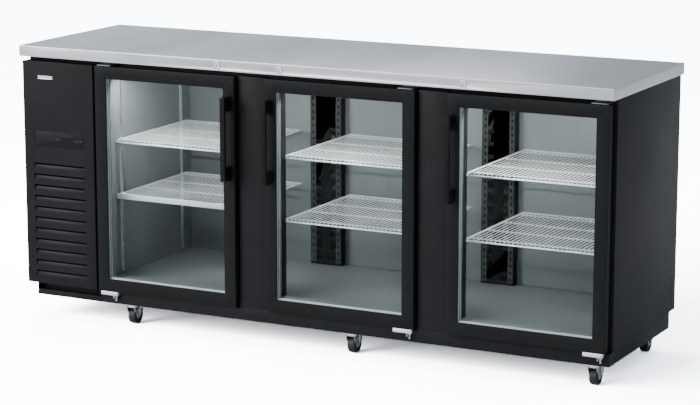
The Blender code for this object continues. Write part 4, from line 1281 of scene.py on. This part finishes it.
def makeStage(plan):
    bpy.ops.object.select_all(action="DESELECT")
    bpy.ops.mesh.primitive_plane_add(size=plan["floorSize"], location=(0, 0, 0))
    floor = bpy.context.object
    floor.name = "studioFloor"
    floor.data.transform(Matrix.Translation((0, 0, -0.0002)))
    pale = plan["floorTone"]
    material, wire, shader = startFinish("paleFloor", {"Base Color": (*pale, 1), "Specular IOR Level": 0.2})
    tone = clamped(cloud(wire, 1.5, 3), 0.3, 0.7)
    connect(shader, "Base Color", blendTones(wire, tone, [c * 0.985 for c in pale], pale))
    connect(shader, "Roughness", 0.7 + tone * 0.1)
    # seen directly, the floor is a high-key sweep: the same shading, lifted towards white
    lifted = wire.node("BsdfDiffuse", None, {"Color": (*[c * plan["floorLift"] for c in pale], 1)})
    direct = wire.node("LightPath", output="Is Camera Ray")
    setSurface(wire.node("MixShader", None, {0: direct, 1: Wire(wire.tree, shader.outputs[0]), 2: lifted}))
    floor.data.materials.append(material)
    world = bpy.data.worlds.new("studio")
    bpy.context.scene.world = world
    world.use_nodes = True
    sky = world.node_tree.nodes["Background"]
    sky.inputs["Color"].default_value = (0.80, 0.90, 1.0, 1)
    sky.inputs["Strength"].default_value = plan["worldFill"]


def addLight(name, kind, location, target, energy, size=(1, 1), angle=0.0, colour=(1, 1, 1)):
    data = bpy.data.lights.new(name, kind)
    data.energy, data.color = energy, colour
    if kind == "AREA":
        data.shape, data.size, data.size_y = "RECTANGLE", *size
    else:
        data.angle = angle
    lamp = bpy.data.objects.new(name, data)
    bpy.context.scene.collection.objects.link(lamp)
    lamp.location = location
    lamp.rotation_euler = (Vector(target) - Vector(location)).to_track_quat("-Z", "Y").to_euler()
    return lamp


def makeLights():
    addLight("sunSoft", "SUN", (-5, -7, 5.4), (0, 0, 0.5), 3.0, angle=0.8)
    addLight("keySoftbox", "AREA", (-3.8, -3.6, 3.0), (-0.2, 0, 0.5), 120, (2.6, 2.2))
    addLight("fillSoftbox", "AREA", (4.4, -2.6, 1.8), (0.8, 0, 0.4), 6, (2.0, 2.0), colour=(0.8, 0.9, 1.0))
    addLight("topSoftbox", "AREA", (-1.6, 2.2, 3.2), (-0.4, 0, 0.9), 45, (3.0, 1.6))
    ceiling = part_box("ceiling_panel")[0]
    for index in (1, 2, 3):
        low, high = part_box(f"shelf_{index}_upper")
        x = (low.x + high.x) / 2
        addLight(f"insideLamp{index}", "AREA", (x, ceiling.y + 0.018, ceiling.z - 0.022),
                 (x, 0.05, 0.3), 3.6, (0.42, 0.012))


def makeCamera(plan):
    data = bpy.data.cameras.new("camera")
    data.lens, data.sensor_width = plan["lens"], 36.0
    camera = bpy.data.objects.new("camera", data)
    bpy.context.scene.collection.objects.link(camera)
    camera.location = plan["cameraAt"]
    camera.rotation_euler = (math.pi / 2 - plan["cameraPitch"], 0, plan["cameraYaw"])
    bpy.context.scene.camera = camera


makeStage(stagePlan)
makeLights()
makeCamera(stagePlan)
print("stage ready")
